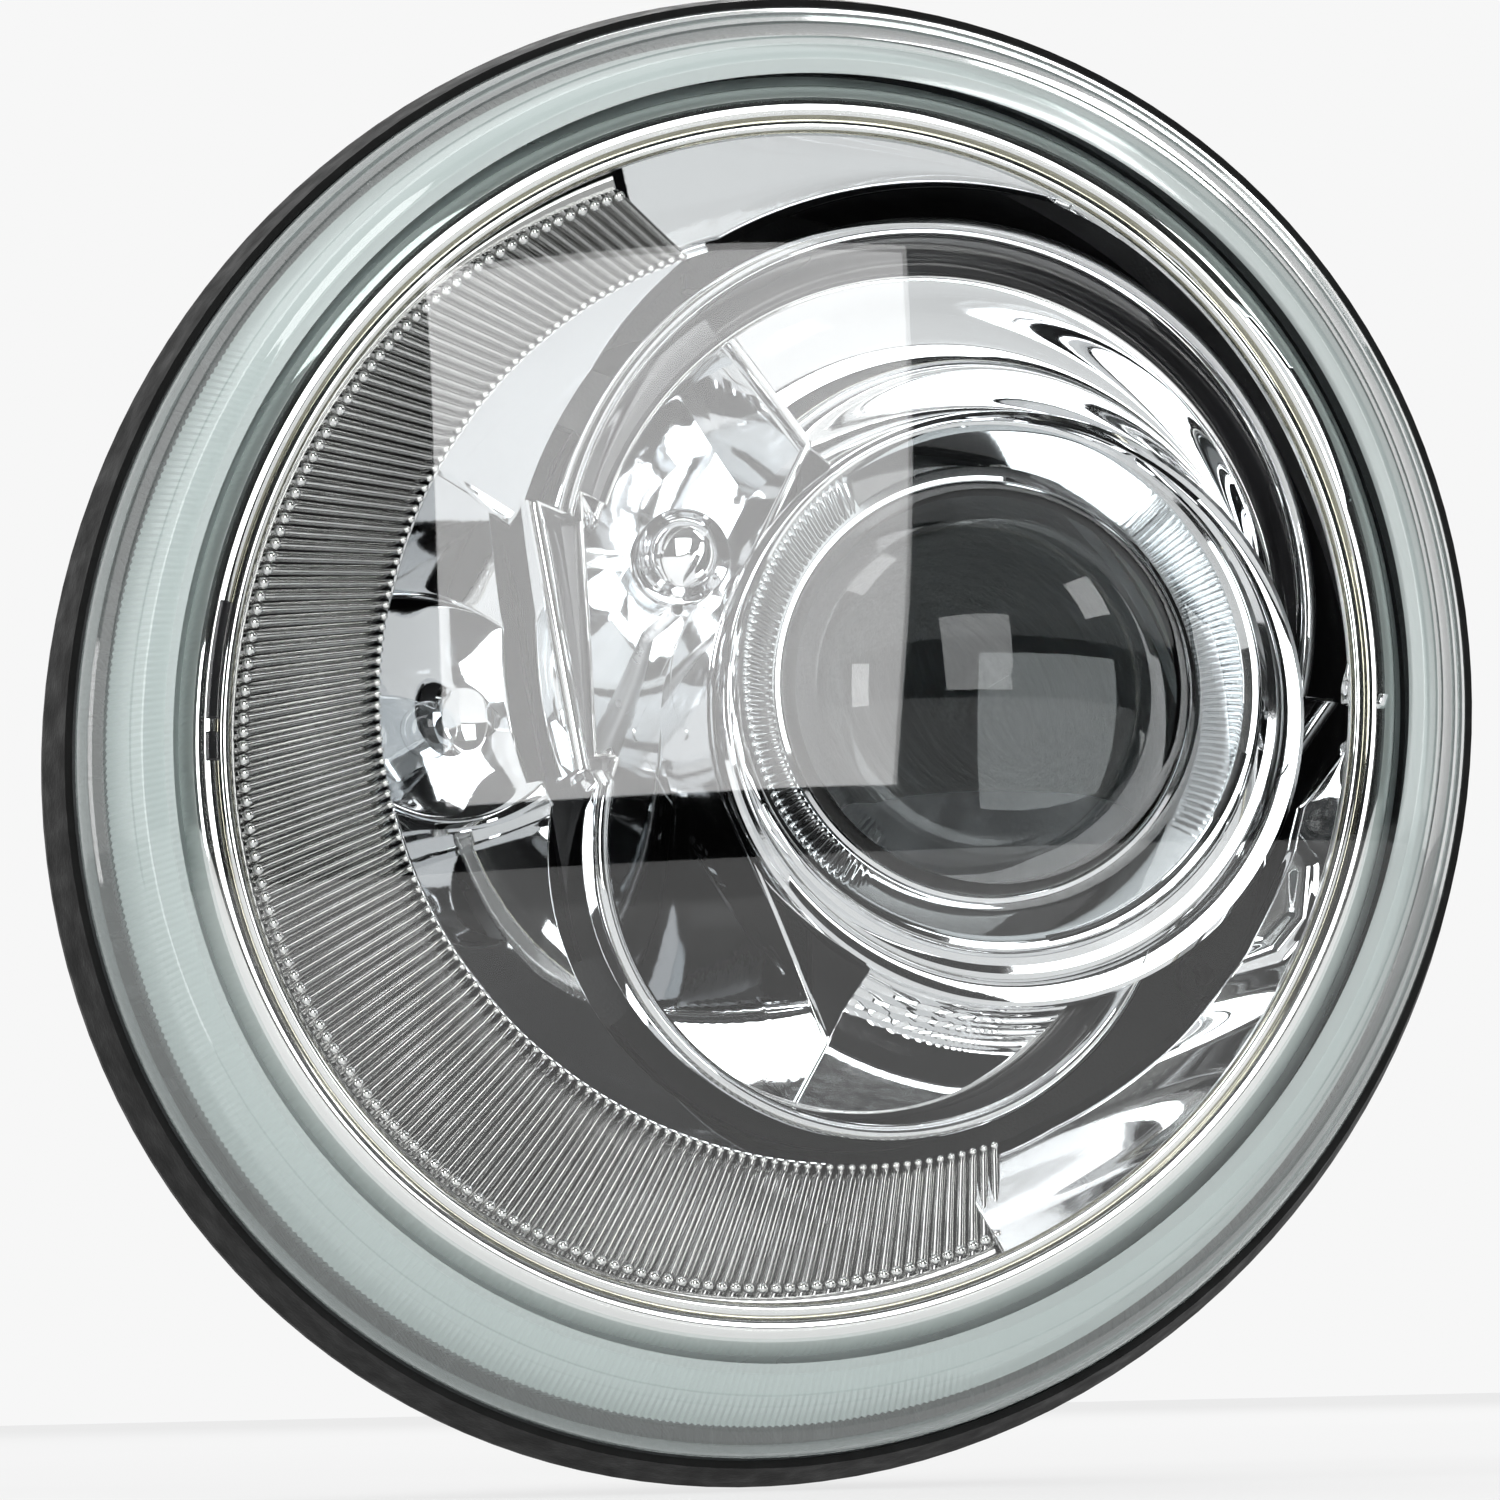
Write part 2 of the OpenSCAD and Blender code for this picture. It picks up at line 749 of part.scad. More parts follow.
module projector_holder() {
  color("#84878a") lamp()
    difference() {
      union() {
        turned(low_axis) polygon([[31, 6], [35.2, 6], [35.2, 9], [38.5, 9], [38.5, 40], [42.4, 40],
          [42.4, 44], [36, 44], [36, 12], [31, 12]]);
        for (a = [-100, 20, 100]) {
          slab(40, 44) strip(low_axis + 38 * [cos(a), sin(a)], low_axis + 47 * [cos(a), sin(a)], 8);
          rod(low_axis + 47 * [cos(a), sin(a)], 4, frame_back, 44);
        }
      }
      for (a = [-100, 20, 100])
        rod(low_axis + 47 * [cos(a), sin(a)], 2, frame_back - 1, 45);
    }
}

module cutoff_shield() {
  color("#55585b") lamp()
    slab(44, 45.2) translate(low_axis) difference() {
      circle(42);
      intersection() {
        circle(34);
        polygon([[-40, 0.6], [-2, 0.6], [3, -1.6], [40, -1.6], [40, 40], [-40, 40]]);
      }
    }
}

module projector_reflector() {
  steps = 8;
  reach = 50;
  bowl = [for (i = [0:steps]) let (t = i * 9.2 / steps) [38 * sqrt(1 - pow(t / 10, 2)), 46 + reach * t / 10]];
  color("#aeb1b3") lamp()
    turned(low_axis) polygon(concat([[42, 45.2], [42, 48], [40, 48]],
      [for (p = bowl) if (p[1] > 50) [p[0] + 2, p[1] + 1]],
      [[18, 93.6], [18, burner_seat], [12, burner_seat], [12, 92.6]],
      [for (i = [steps:-1:0]) bowl[i]], [[38, 45.2]]));
}

module projector_screws() {
  color("#8d9094") lamp()
    for (a = [-100, 20, 100]) {
      at = low_axis + 47 * [cos(a), sin(a)];
      rod(at, 1.9, frame_depth, 44);
      difference() {
        rod(at, 3.6, 44, 46.6);
        rod(at, 1.4, 45.4, 48);
      }
    }
}

module burner_capsule() {
  color("#e9eff2", 0.5) lamp() {
    rod(low_axis, 4.6, 60, 90);
    translate([low_axis[0], 60, low_axis[1]]) sphere(4.6);
  }
}

module burner_base() {
  color("#d8d2c4") lamp() {
    rod(low_axis, 11.6, 90, burner_seat);
    rod(low_axis, 16.5, burner_seat, burner_seat + 3);
    rod(low_axis, 12, burner_seat + 3, burner_seat + 8);
  }
}

module igniter() {
  color("#9c9fa2") lamp()
    difference() {
      slab(burner_seat + 8, burner_seat + 36) translate(low_axis) intersection() {
        circle(20);
        square(31, center = true);
      }
      translate([low_axis[0] - 8, burner_seat + 28, low_axis[1] - 5]) cube([16, 9, 10]);
    }
}

module burner_ring() {
  color("#6f7275") lamp() {
    tube(low_axis, 12.6, 19, burner_seat + 3.4, burner_seat + 6.4);
    for (a = [90:120:330])
      slab(burner_seat + 3.4, burner_seat + 7.4) translate(low_axis) rotate(a) translate([17, -3]) square([6, 6]);
  }
}

// ---- wire clip of the high-beam bulb ----

module high_clip() {
  x0 = high_axis[0] - clip_half;
  x1 = high_axis[0] + clip_half;
  low_z = clip_pivot_z - clip_reach;
  color("#c9cccf") lamp() {
    for (z = [clip_pivot_z, low_z])
      translate([x0, clip_depth, z]) rotate([0, 90, 0]) cylinder(r = clip_wire, h = 2 * clip_half);
    for (x = [x0, x1]) {
      translate([x, clip_depth, low_z]) cylinder(r = clip_wire, h = clip_reach);
      for (z = [clip_pivot_z, low_z])
        translate([x, clip_depth, z]) sphere(clip_wire);
    }
  }
}

// ---- adjusters ----

module ball_rod(at, end) {
  translate([at[0], ball_depth, at[1]]) sphere(rod_ball_r);
  rod(at, rod_r, ball_depth + 2, end);
}

module level_rod() { color("#a2a5a8") lamp() ball_rod(pitch_at, drum_back + 20); }

module yaw_rod() { color("#a2a5a8") lamp() ball_rod(yaw_at, drum_back + 24); }

// A wheel with a row of teeth for a screwdriver to turn
module toothed_wheel(at, r, teeth, d0, d1) {
  slab(d0, d1) translate(at) difference() {
    circle(r);
    for (i = [0:teeth - 1])
      rotate(i * 360 / teeth) translate([r + 0.4, 0]) circle(r * 1.7 / teeth, $fn = 24);
  }
}

module level_knob() {
  color("#e3e1da") lamp() {
    rod(pitch_at, 2.4, drum_back + 27, drum_back + 33);
    toothed_wheel(pitch_at, 9, 12, drum_back + 31.4, drum_back + 39.4);
  }
}

module yaw_knob() {
  color("#e3e1da") lamp()
    difference() {
      toothed_wheel(yaw_at, 11, 14, drum_back + 5.2, drum_back + 15.2);
      rod(yaw_at, rod_r + 0.3, drum_back + 4, drum_back + 16);
    }
}

// ---- rear covers ----

module rear_cover(at, r, deep, grip) {
  front = chamber_depth + wall + 1;
  turned(at) polygon([[r, front], [r + 1.9, front], [r + 1.9, front + deep - 2], [r, front + deep],
    [0, front + deep], [0, front + deep - 2.4], [r - 1, front + deep - 2.4], [r, front + deep - 3.4]]);
  for (i = [0:11])
    translate([at[0], 0, at[1]]) rotate([0, i * 30, 0]) translate([r + 1.4, front + 4, -1.2])
      cube([1.1, deep - 7, 2.4]);
  translate([at[0] - grip / 2, front + deep - 0.4, at[1] - 2.5]) cube([grip, 8.4, 5]);
}

module cover_seal(at, r) { tube(at, r + 0.1, r + 1.1, chamber_depth + wall + 2, chamber_depth + wall + 6); }

module low_cover() { color("#232426") lamp() rear_cover(low_axis, low_port_r + collar + 1.1, 29, 46); }

module low_cover_seal() { color("#3a3b3c") lamp() cover_seal(low_axis, low_port_r + collar); }

module high_cover() { color("#232426") lamp() rear_cover(high_port, high_port_r + 2.6, 14, 26); }

module high_cover_seal() { color("#3a3b3c") lamp() cover_seal(high_port, high_port_r + 1.5); }

housing_shell();
mount_inserts();
rim_seal();
lens_sealant();
outer_lens();
trim_ring();
inner_bezel();
fluted_reflector();
bezel_screws();
position_reflector();
vent_caps();
main_connector();
connector_pins();
ballast_case();
ballast_gasket();
ballast_screws();
level_motor();
motor_seal();
pivot_stud();
yaw_bushing();
position_holder();
position_bulb();
position_seal();
pivot_bush();
carrier_frame();
main_shroud();
high_reflector();
glare_cap();
high_bulb_glass();
high_bulb_base();
high_bulb_plug();
clip_screw();
projector_bezel();
projector_lens();
lens_retainer();
projector_holder();
cutoff_shield();
projector_reflector();
projector_screws();
burner_capsule();
burner_base();
igniter();
pitch_socket();
yaw_socket();
high_clip();
burner_ring();
level_rod();
level_knob();
yaw_rod();
yaw_knob();
low_cover();
low_cover_seal();
high_cover();
high_cover_seal();
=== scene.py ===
"""Round projector headlamp: clear ribbed lens, chrome bezel with a fluted crescent, aimed shroud."""

import math

import bmesh
import bpy
from mathutils import Matrix, Vector


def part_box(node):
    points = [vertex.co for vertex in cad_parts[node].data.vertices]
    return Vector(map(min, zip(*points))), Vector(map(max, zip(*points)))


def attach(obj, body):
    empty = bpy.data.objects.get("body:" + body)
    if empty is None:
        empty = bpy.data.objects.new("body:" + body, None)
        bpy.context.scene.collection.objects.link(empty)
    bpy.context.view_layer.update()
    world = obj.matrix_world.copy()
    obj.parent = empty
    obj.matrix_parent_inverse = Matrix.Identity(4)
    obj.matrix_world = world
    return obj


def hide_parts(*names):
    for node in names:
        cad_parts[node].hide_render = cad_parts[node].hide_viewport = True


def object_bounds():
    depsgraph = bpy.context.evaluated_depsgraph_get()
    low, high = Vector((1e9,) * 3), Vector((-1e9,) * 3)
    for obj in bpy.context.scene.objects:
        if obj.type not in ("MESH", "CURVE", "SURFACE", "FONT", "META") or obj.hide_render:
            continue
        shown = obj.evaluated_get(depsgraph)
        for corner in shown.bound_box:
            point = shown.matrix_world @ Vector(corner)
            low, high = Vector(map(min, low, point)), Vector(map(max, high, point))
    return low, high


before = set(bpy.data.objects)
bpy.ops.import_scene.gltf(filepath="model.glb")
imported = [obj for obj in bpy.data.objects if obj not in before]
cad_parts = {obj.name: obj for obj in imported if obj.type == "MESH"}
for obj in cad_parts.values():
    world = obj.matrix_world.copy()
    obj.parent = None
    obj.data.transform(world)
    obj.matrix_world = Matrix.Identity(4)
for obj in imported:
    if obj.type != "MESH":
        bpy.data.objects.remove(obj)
cad_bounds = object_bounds()

MM = 0.001
TAU = 2 * math.pi

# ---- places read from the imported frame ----


def centre_of(node):
    low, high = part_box(node)
    return (low + high) / 2


def flat(point):
    """The [x, z] of a point in millimetres."""
    return (point.x / MM, point.z / MM)


SEAT = 20.0  # the mounting plane lies this far behind the lens rim, in millimetres
LOW = flat(centre_of("lens_retainer"))
HIGH = flat(centre_of("high_bulb_glass"))
# the rim is an oval: this much longer along an axis that leans this far up from the horizontal
OVAL = 1.067
TILT = math.radians(60)
TRIM_R = 91.4
CRESCENT = (10.8, 4.3)
CRESCENT_R = 77.5
# outlines round two circles, each circle as [x, z, radius]
SHROUD = ((26.0, 20.0, 65.5), (16.0, -21.0, 49.0))
BAND_INNER = ((26.5, 17.0, 59.5), (12.0, -22.0, 43.5))
AIM_GAP = 3.5
BAND_OVERLAP = 0.6


def spot(x, z, depth):
    """A point in the row frame from millimetres right, up and behind the lens rim."""
    return Vector((x * MM, (depth - SEAT) * MM, z * MM))


def stretch(x, z):
    """Stretches a flat point along the rim's long axis."""
    along = (x * math.cos(TILT) + z * math.sin(TILT)) * (OVAL - 1)
    return x + along * math.cos(TILT), z + along * math.sin(TILT)


def oval_reach(r, angle):
    """How far an oval of half-axis r lies from the middle at a true angle."""
    turn = angle - TILT
    return r / math.hypot(math.cos(turn) / OVAL, math.sin(turn))


def smoothstep(low, high, value):
    """Eases from 0 at low to 1 at high."""
    t = min(1.0, max(0.0, (value - low) / (high - low)))
    return t * t * (3 - 2 * t)


def circle_reach(origin, angle, circle):
    """Where a ray from origin leaves a circle, or None."""
    ox, oz = origin[0] - circle[0], origin[1] - circle[1]
    b = ox * math.cos(angle) + oz * math.sin(angle)
    disc = b * b - (ox * ox + oz * oz - circle[2] ** 2)
    if disc < 0:
        return None
    far = -b + math.sqrt(disc)
    return far if far > 0 else None


def twin_reach(origin, angle, twin, margin=0.0):
    """Where a ray from inside leaves the outline round two circles."""
    big = (twin[0][0], twin[0][1], twin[0][2] + margin)
    small = (twin[1][0], twin[1][1], twin[1][2] + margin)
    found = [r for r in (circle_reach(origin, angle, big), circle_reach(origin, angle, small)) if r]
    across = (small[0] - big[0], small[1] - big[1])
    heading = math.atan2(across[1], across[0])
    lean = math.acos((big[2] - small[2]) / math.hypot(*across))
    ray = (math.cos(angle), math.sin(angle))
    for side in (-1, 1):
        n = (math.cos(heading + side * lean), math.sin(heading + side * lean))
        facing = ray[0] * n[0] + ray[1] * n[1]
        if facing <= 1e-6:
            continue
        offset = (big[0] - origin[0]) * n[0] + (big[1] - origin[1]) * n[1] + big[2]
        reach = offset / facing
        hit = (origin[0] + reach * ray[0], origin[1] + reach * ray[1])
        a = (hit[0] - big[0]) * across[0] + (hit[1] - big[1]) * across[1]
        if 0 <= a <= across[0] ** 2 + across[1] ** 2:
            found.append(reach)
    return max(found)


# ---- materials ----


class Nodes:
    """A short way to build one material's node tree."""

    def __init__(self, name):
        self.material = bpy.data.materials.new(name)
        self.material.use_nodes = True
        self.tree = self.material.node_tree
        self.tree.nodes.clear()
        self.place = self.add("ShaderNodeTexCoord").outputs["Object"]

    def add(self, kind, **values):
        node = self.tree.nodes.new(kind)
        for key, value in values.items():
            if key in node.inputs:
                node.inputs[key].default_value = value
            else:
                setattr(node, key, value)
        return node

    def link(self, source, target):
        self.tree.links.new(source, target)

    def noise(self, scale, detail=3.0):
        node = self.add("ShaderNodeTexNoise", Scale=scale, Detail=detail)
        self.link(self.place, node.inputs["Vector"])
        return node.outputs["Fac"]

    def spread(self, source, low, high):
        """Maps the middle of a texture's values to a range."""
        node = self.add("ShaderNodeMapRange")
        for i, value in enumerate((0.3, 0.7, low, high)):
            node.inputs[i + 1].default_value = value
        self.link(source, node.inputs[0])
        return node.outputs[0]

    def blend(self, factor, a, b):
        node = self.add("ShaderNodeMix", data_type="RGBA")
        self.link(factor, node.inputs[0])
        node.inputs[6].default_value = (*a, 1)
        node.inputs[7].default_value = (*b, 1)
        return node.outputs[2]

    def bump(self, height, strength, distance):
        node = self.add("ShaderNodeBump", Strength=strength, Distance=distance)
        self.link(height, node.inputs["Height"])
        return node.outputs["Normal"]

    def math(self, operation, a, b):
        node = self.add("ShaderNodeMath", operation=operation)
        for socket, value in zip(node.inputs, (a, b)):
            if isinstance(value, (int, float)):
                socket.default_value = value
            else:
                self.link(value, socket)
        return node.outputs[0]

    def finish(self, shader):
        self.link(shader, self.add("ShaderNodeOutputMaterial").inputs["Surface"])
        return self.material


def surface(name, dark, light, rough, metallic=0.0, tone=60.0, grain=None, **constants):
    """A solid finish: two shades in soft patches, uneven gloss and, with grain, a fine bump."""
    n = Nodes(name)
    shader = n.add("ShaderNodeBsdfPrincipled", Metallic=metallic)
    for key, value in constants.items():
        shader.inputs[key.replace("_", " ")].default_value = value
    patches = n.noise(tone, 4.0)
    n.link(n.blend(patches, dark, light), shader.inputs["Base Color"])
    n.link(n.spread(n.noise(tone * 2.3), *rough), shader.inputs["Roughness"])
    if grain:
        scale, strength, distance = grain
        n.link(n.bump(n.noise(scale, 5.0), strength, distance), shader.inputs["Normal"])
    return n.finish(shader.outputs[0])


def clear(name, tint, floor, gloss=0.02, body=None, body_share=0.0, grain=None):
    """See-through plastic: it mirrors more at a glancing angle, and body gives it some milk."""
    n = Nodes(name)
    through = n.add("ShaderNodeBsdfTransparent", Color=(*tint, 1))
    mirror = n.add("ShaderNodeBsdfPrincipled", Metallic=1.0, Roughness=gloss)
    mirror.inputs["Base Color"].default_value = (1, 1, 1, 1)
    weight = n.add("ShaderNodeLayerWeight", Blend=0.5)
    edge = n.math("POWER", weight.outputs["Facing"], 5.0)
    share = n.math("ADD", n.math("MULTIPLY", edge, 0.9), floor)
    scuffs = n.spread(n.noise(35.0, 6.0), gloss, gloss * 2.0)
    n.link(scuffs, mirror.inputs["Roughness"])
    under = through.outputs[0]
    if body:
        milk = n.add("ShaderNodeBsdfPrincipled", Roughness=0.28)
        milk.inputs["Base Color"].default_value = (*body, 1)
        n.link(n.blend(n.noise(20.0), [c * 0.9 for c in body], body), milk.inputs["Base Color"])
        mixed = n.add("ShaderNodeMixShader")
        mixed.inputs[0].default_value = body_share
        n.link(through.outputs[0], mixed.inputs[1])
        n.link(milk.outputs[0], mixed.inputs[2])
        under = mixed.outputs[0]
    if grain:
        scale, strength, distance = grain
        n.link(n.bump(n.noise(scale, 5.0), strength, distance), mirror.inputs["Normal"])
    top = n.add("ShaderNodeMixShader")
    n.link(share, top.inputs[0])
    n.link(under, top.inputs[1])
    n.link(mirror.outputs[0], top.inputs[2])
    return n.finish(top.outputs[0])


def solid_glass(name, tint):
    """Thick glass that bends what lies behind it."""
    n = Nodes(name)
    shader = n.add("ShaderNodeBsdfPrincipled", IOR=1.5, Roughness=0.0)
    shader.inputs["Transmission Weight"].default_value = 1.0
    n.link(n.blend(n.noise(30.0), [c * 0.97 for c in tint], tint), shader.inputs["Base Color"])
    return n.finish(shader.outputs[0])


CHROME = surface("chrome", (0.80, 0.81, 0.82), (0.90, 0.91, 0.92), (0.02, 0.05), 1.0, 25.0,
                 (90.0, 0.12, 0.0002))
RING_CHROME = surface("ring_chrome", (0.86, 0.86, 0.85), (0.95, 0.95, 0.94), (0.03, 0.07), 1.0, 30.0,
                      (120.0, 0.06, 0.0001))
RING_SATIN = surface("ring_satin", (0.74, 0.75, 0.75), (0.84, 0.85, 0.85), (0.26, 0.38), 1.0, 30.0,
                     (300.0, 0.05, 0.0001))
GOLD_EDGE = surface("gold_tinted_edge", (0.30, 0.29, 0.22), (0.52, 0.50, 0.42), (0.05, 0.12), 1.0, 90.0)
SMOKED = surface("black_chrome", (0.012, 0.012, 0.013), (0.03, 0.03, 0.032), (0.04, 0.10), 0.0, 40.0,
                 (160.0, 0.05, 0.0001))
# painted shade: the flute chrome's colour is darkened to stand in for the dark reflections the crescent
# shows, not the metal's own colour
FLUTE_CHROME_PAINTED_SHADE = surface("flute_chrome_painted_shade", (0.36, 0.36, 0.355), (0.50, 0.50, 0.49), (0.05, 0.11), 1.0, 60.0)
SATIN = surface("satin_steel", (0.42, 0.43, 0.44), (0.62, 0.63, 0.64), (0.25, 0.42), 1.0, 220.0,
                (2600.0, 0.10, 0.0002))
CAST = surface("cast_aluminium", (0.40, 0.41, 0.42), (0.58, 0.59, 0.60), (0.42, 0.62), 1.0, 120.0,
               (1500.0, 0.35, 0.0004))
BRASS = surface("brass", (0.55, 0.40, 0.14), (0.80, 0.62, 0.28), (0.18, 0.34), 1.0, 260.0)
RUBBER = surface("black_rubber", (0.005, 0.005, 0.005), (0.011, 0.011, 0.011), (0.55, 0.78), 0.0, 90.0,
                 (1400.0, 0.30, 0.0003), Specular_IOR_Level=0.15)
HOUSING = surface("housing_plastic", (0.016, 0.016, 0.018), (0.034, 0.034, 0.037), (0.38, 0.56), 0.0, 45.0,
                  (1800.0, 0.35, 0.0003))
COVER = surface("cover_plastic", (0.012, 0.012, 0.013), (0.026, 0.026, 0.028), (0.30, 0.46), 0.0, 70.0,
                (1200.0, 0.25, 0.0002))
CARRIER = surface("carrier_plastic", (0.035, 0.036, 0.038), (0.060, 0.061, 0.064), (0.40, 0.58), 0.0, 60.0,
                  (1300.0, 0.30, 0.0003))
NYLON = surface("natural_nylon", (0.66, 0.64, 0.57), (0.80, 0.78, 0.72), (0.35, 0.52), 0.0, 130.0,
                (900.0, 0.15, 0.0002), Subsurface_Weight=0.1)
SEALANT = surface("grey_sealant", (0.05, 0.05, 0.052), (0.09, 0.09, 0.092), (0.5, 0.7), 0.0, 200.0,
                  (700.0, 0.5, 0.0005))
SHIELD = surface("shield_black", (0.02, 0.02, 0.022), (0.05, 0.05, 0.052), (0.35, 0.6), 0.6, 120.0,
                 (900.0, 0.25, 0.0002))
LENS_CLEAR = clear("lens_clear", (0.985, 0.99, 0.99), 0.04, 0.012)
LENS_EDGE = clear("lens_edge", (0.92, 0.96, 0.955), 0.05, 0.03, (0.80, 0.87, 0.86), 0.16)
LENS_RIBBED = clear("lens_ribbed", (0.81, 0.89, 0.875), 0.08, 0.08, (0.87, 0.945, 0.93), 0.72)
BULB_GLASS = clear("bulb_glass", (0.95, 0.97, 0.98), 0.06, 0.01)
PROJECTOR_GLASS = solid_glass("projector_glass", (0.90, 0.95, 0.96))

FINISH = {
    "housing_plastic": HOUSING,
    "cover_plastic": COVER,
    "carrier_plastic": CARRIER,
    "black_rubber": RUBBER,
    "sealant": SEALANT,
    "clear_lens": LENS_CLEAR,
    "chrome": CHROME,
    "projector_glass": PROJECTOR_GLASS,
    "bulb_glass": BULB_GLASS,
    "satin_steel": SATIN,
    "cast_aluminium": CAST,
    "shield_black": SHIELD,
    "brass": BRASS,
    "nylon": NYLON,
}


def finish_nodes():
    """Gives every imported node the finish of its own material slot."""
    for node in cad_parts.values():
        for holder in node.material_slots:
            name = holder.material.name.split(".")[0] if holder.material else ""
            if name in FINISH:
                holder.material = FINISH[name]
            else:
                print("no finish for", node.name, name)
                holder.material = CARRIER


# ---- meshes ----


def piece(name, verts, faces, materials, body, replaces=(), slot="chrome", sharp=35.0, indices=None):
    """Makes a mesh object from points and faces, and hands it to the frame."""
    mesh = bpy.data.meshes.new(name)
    mesh.from_pydata([tuple(v) for v in verts], [], faces)
    mesh.validate()
    bm = bmesh.new()
    bm.from_mesh(mesh)
    bmesh.ops.remove_doubles(bm, verts=bm.verts, dist=1e-7)
    if indices is not None and len(bm.faces) == len(indices):
        bm.faces.ensure_lookup_table()
        for face, index in zip(bm.faces, indices):
            face.material_index = index
    bmesh.ops.recalc_face_normals(bm, faces=bm.faces)
    bm.to_mesh(mesh)
    bm.free()
    mesh.shade_smooth()
    mesh.set_sharp_from_angle(angle=math.radians(sharp))
    for material in materials:
        mesh.materials.append(material)
    obj = bpy.data.objects.new(name, mesh)
    bpy.context.scene.collection.objects.link(obj)
    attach(obj, body)
    if replaces:
        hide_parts(*replaces)
    return obj


def face_front(obj):
    """Turns an open sheet's normals towards the front of the lamp."""
    mesh = obj.data
    total = sum(p.normal.y * p.area for p in mesh.polygons)
    if total > 0:
        mesh.flip_normals()
    return obj


def thicken(obj, depth):
    """Gives a sheet a wall of this many millimetres behind it."""
    modifier = obj.modifiers.new("wall", "SOLIDIFY")
    modifier.thickness = depth * MM
    modifier.offset = -1
    return obj


def grid(rows, closed):
    """Vertices and quads of equal rows of points."""
    verts = [p for row in rows for p in row]
    width = len(rows[0])
    faces = []
    for r in range(len(rows) - 1):
        for c in range(width if closed else width - 1):
            d = (c + 1) % width
            faces.append((r * width + c, r * width + d, (r + 1) * width + d, (r + 1) * width + c))
    return verts, faces


def rim(name, profile, steps, materials, body, indices=None, **rest):
    """Sweeps a profile of [half-axis, depth] round the oval rim."""
    rows = []
    for r, depth in profile + [profile[0]]:
        row = []
        for i in range(steps):
            a = TAU * i / steps
            row.append(spot(*stretch(r * math.cos(a), r * math.sin(a)), depth))
        rows.append(row)
    verts, faces = grid(rows, True)
    if indices:
        indices = [indices[i // steps] for i in range(len(faces))]
    return piece(name, verts, faces, materials, body, indices=indices, **rest)


def turned(name, axis, profile, steps, material, replaces, slot, sharp):
    """Turns a closed profile of [radius, depth] round an axis of the carrier."""
    rows = [[spot(axis[0] + r * math.cos(TAU * i / steps), axis[1] + r * math.sin(TAU * i / steps), depth)
             for i in range(steps)] for r, depth in profile]
    rows.append(rows[0])
    verts, faces = grid(rows, True)
    piece(name, verts, faces, [material], "carrier", replaces, slot, sharp)


# ---- clear lens ----


def outer_lens():
    """The domed face, the stepped edge and the skirt, whose inner side carries fine ribs."""
    edge_r, dome, wall, step = 102.2, 14.5, 3.0, -18.9
    ball = (edge_r ** 2 + dome ** 2) / (2 * dome)
    centre = step - dome + ball

    def cap(radius, r):
        return centre - math.sqrt(radius ** 2 - r ** 2)

    shares = (0.012, 0.1, 0.2, 0.3, 0.4, 0.5, 0.6, 0.7, 0.8, 0.9, 0.96)
    out = [(edge_r * t, cap(ball, edge_r * t)) for t in (*shares, 1.0)]
    out += [(102.7, -18.2), (103.2, -17.9), (103.9, -17.2), (105.3, -15.5), (105.6, -15.5), (107.0, -13.2),
            (107.3, -13.1), (109.0, -10.0), (110.6, -7.9), (111.0, -7.8), (112.6, -4.8), (113.2, -4.5),
            (114.2, -2.6), (114.9, -1.2), (115.0, 0.0), (113.6, 0.5), (113.0, 1.0), (113.0, 8.0)]
    back_r = 100.6
    back = [(110.3, 8.0), (110.3, -1.0), (108.8, -3.6), (107.0, -6.8), (104.0, -11.0), (100.8, -15.4),
            (back_r, -15.9)]
    back += [(back_r * t, cap(ball - wall, back_r * t)) for t in reversed(shares)]
    profile = out + back
    rows = []
    steps = 2400
    ribbed = range(len(out) + 1, len(out) + 5)
    for k, (r, depth) in enumerate(profile + [profile[0]]):
        row = []
        for i in range(steps):
            a = TAU * i / steps
            grow = 0.0
            if k in ribbed:
                side = smoothstep(140, 152, math.degrees(a)) * (1 - smoothstep(278, 292, math.degrees(a)))
                grow = -0.32 * side * (0.5 + 0.5 * math.cos(600 * a))
            row.append(spot(*stretch((r + grow) * math.cos(a), (r + grow) * math.sin(a)), depth))
        rows.append(row)
    # the domed face needs few points, but the skirt needs enough for its ribs
    dome_rows = [row[::10] for row in rows]
    around = steps // 10
    face_rows = dome_rows[:12]
    inner_rows = dome_rows[len(out) + 6:len(profile)]
    verts, faces = grid(face_rows, True)
    hub = len(verts)
    verts.append(spot(0, 0, cap(ball, 0)))
    faces += [(hub, (i + 1) % around, i) for i in range(around)]
    start = len(verts)
    inner_verts, inner_faces = grid(inner_rows, True)
    verts += inner_verts
    faces += [tuple(start + v for v in f) for f in inner_faces]
    last = start + (len(inner_rows) - 1) * around
    hub = len(verts)
    verts.append(spot(0, 0, cap(ball - wall, 0)))
    faces += [(hub, last + i, last + (i + 1) % around) for i in range(around)]
    piece("lens_face", verts, faces, [LENS_CLEAR], "housing", ("outer_lens",), "clear_lens", 50)
    skirt_rows = rows[11:len(out) + 7]
    verts, faces = grid(skirt_rows, True)
    outside = len(out) - 12
    indices = [0 if i // steps < outside else 1 for i in range(len(faces))]
    piece("lens_skirt", verts, faces, [LENS_EDGE, LENS_RIBBED], "housing", (), "clear_lens", 28,
          indices=indices)


# ---- trim ring ----


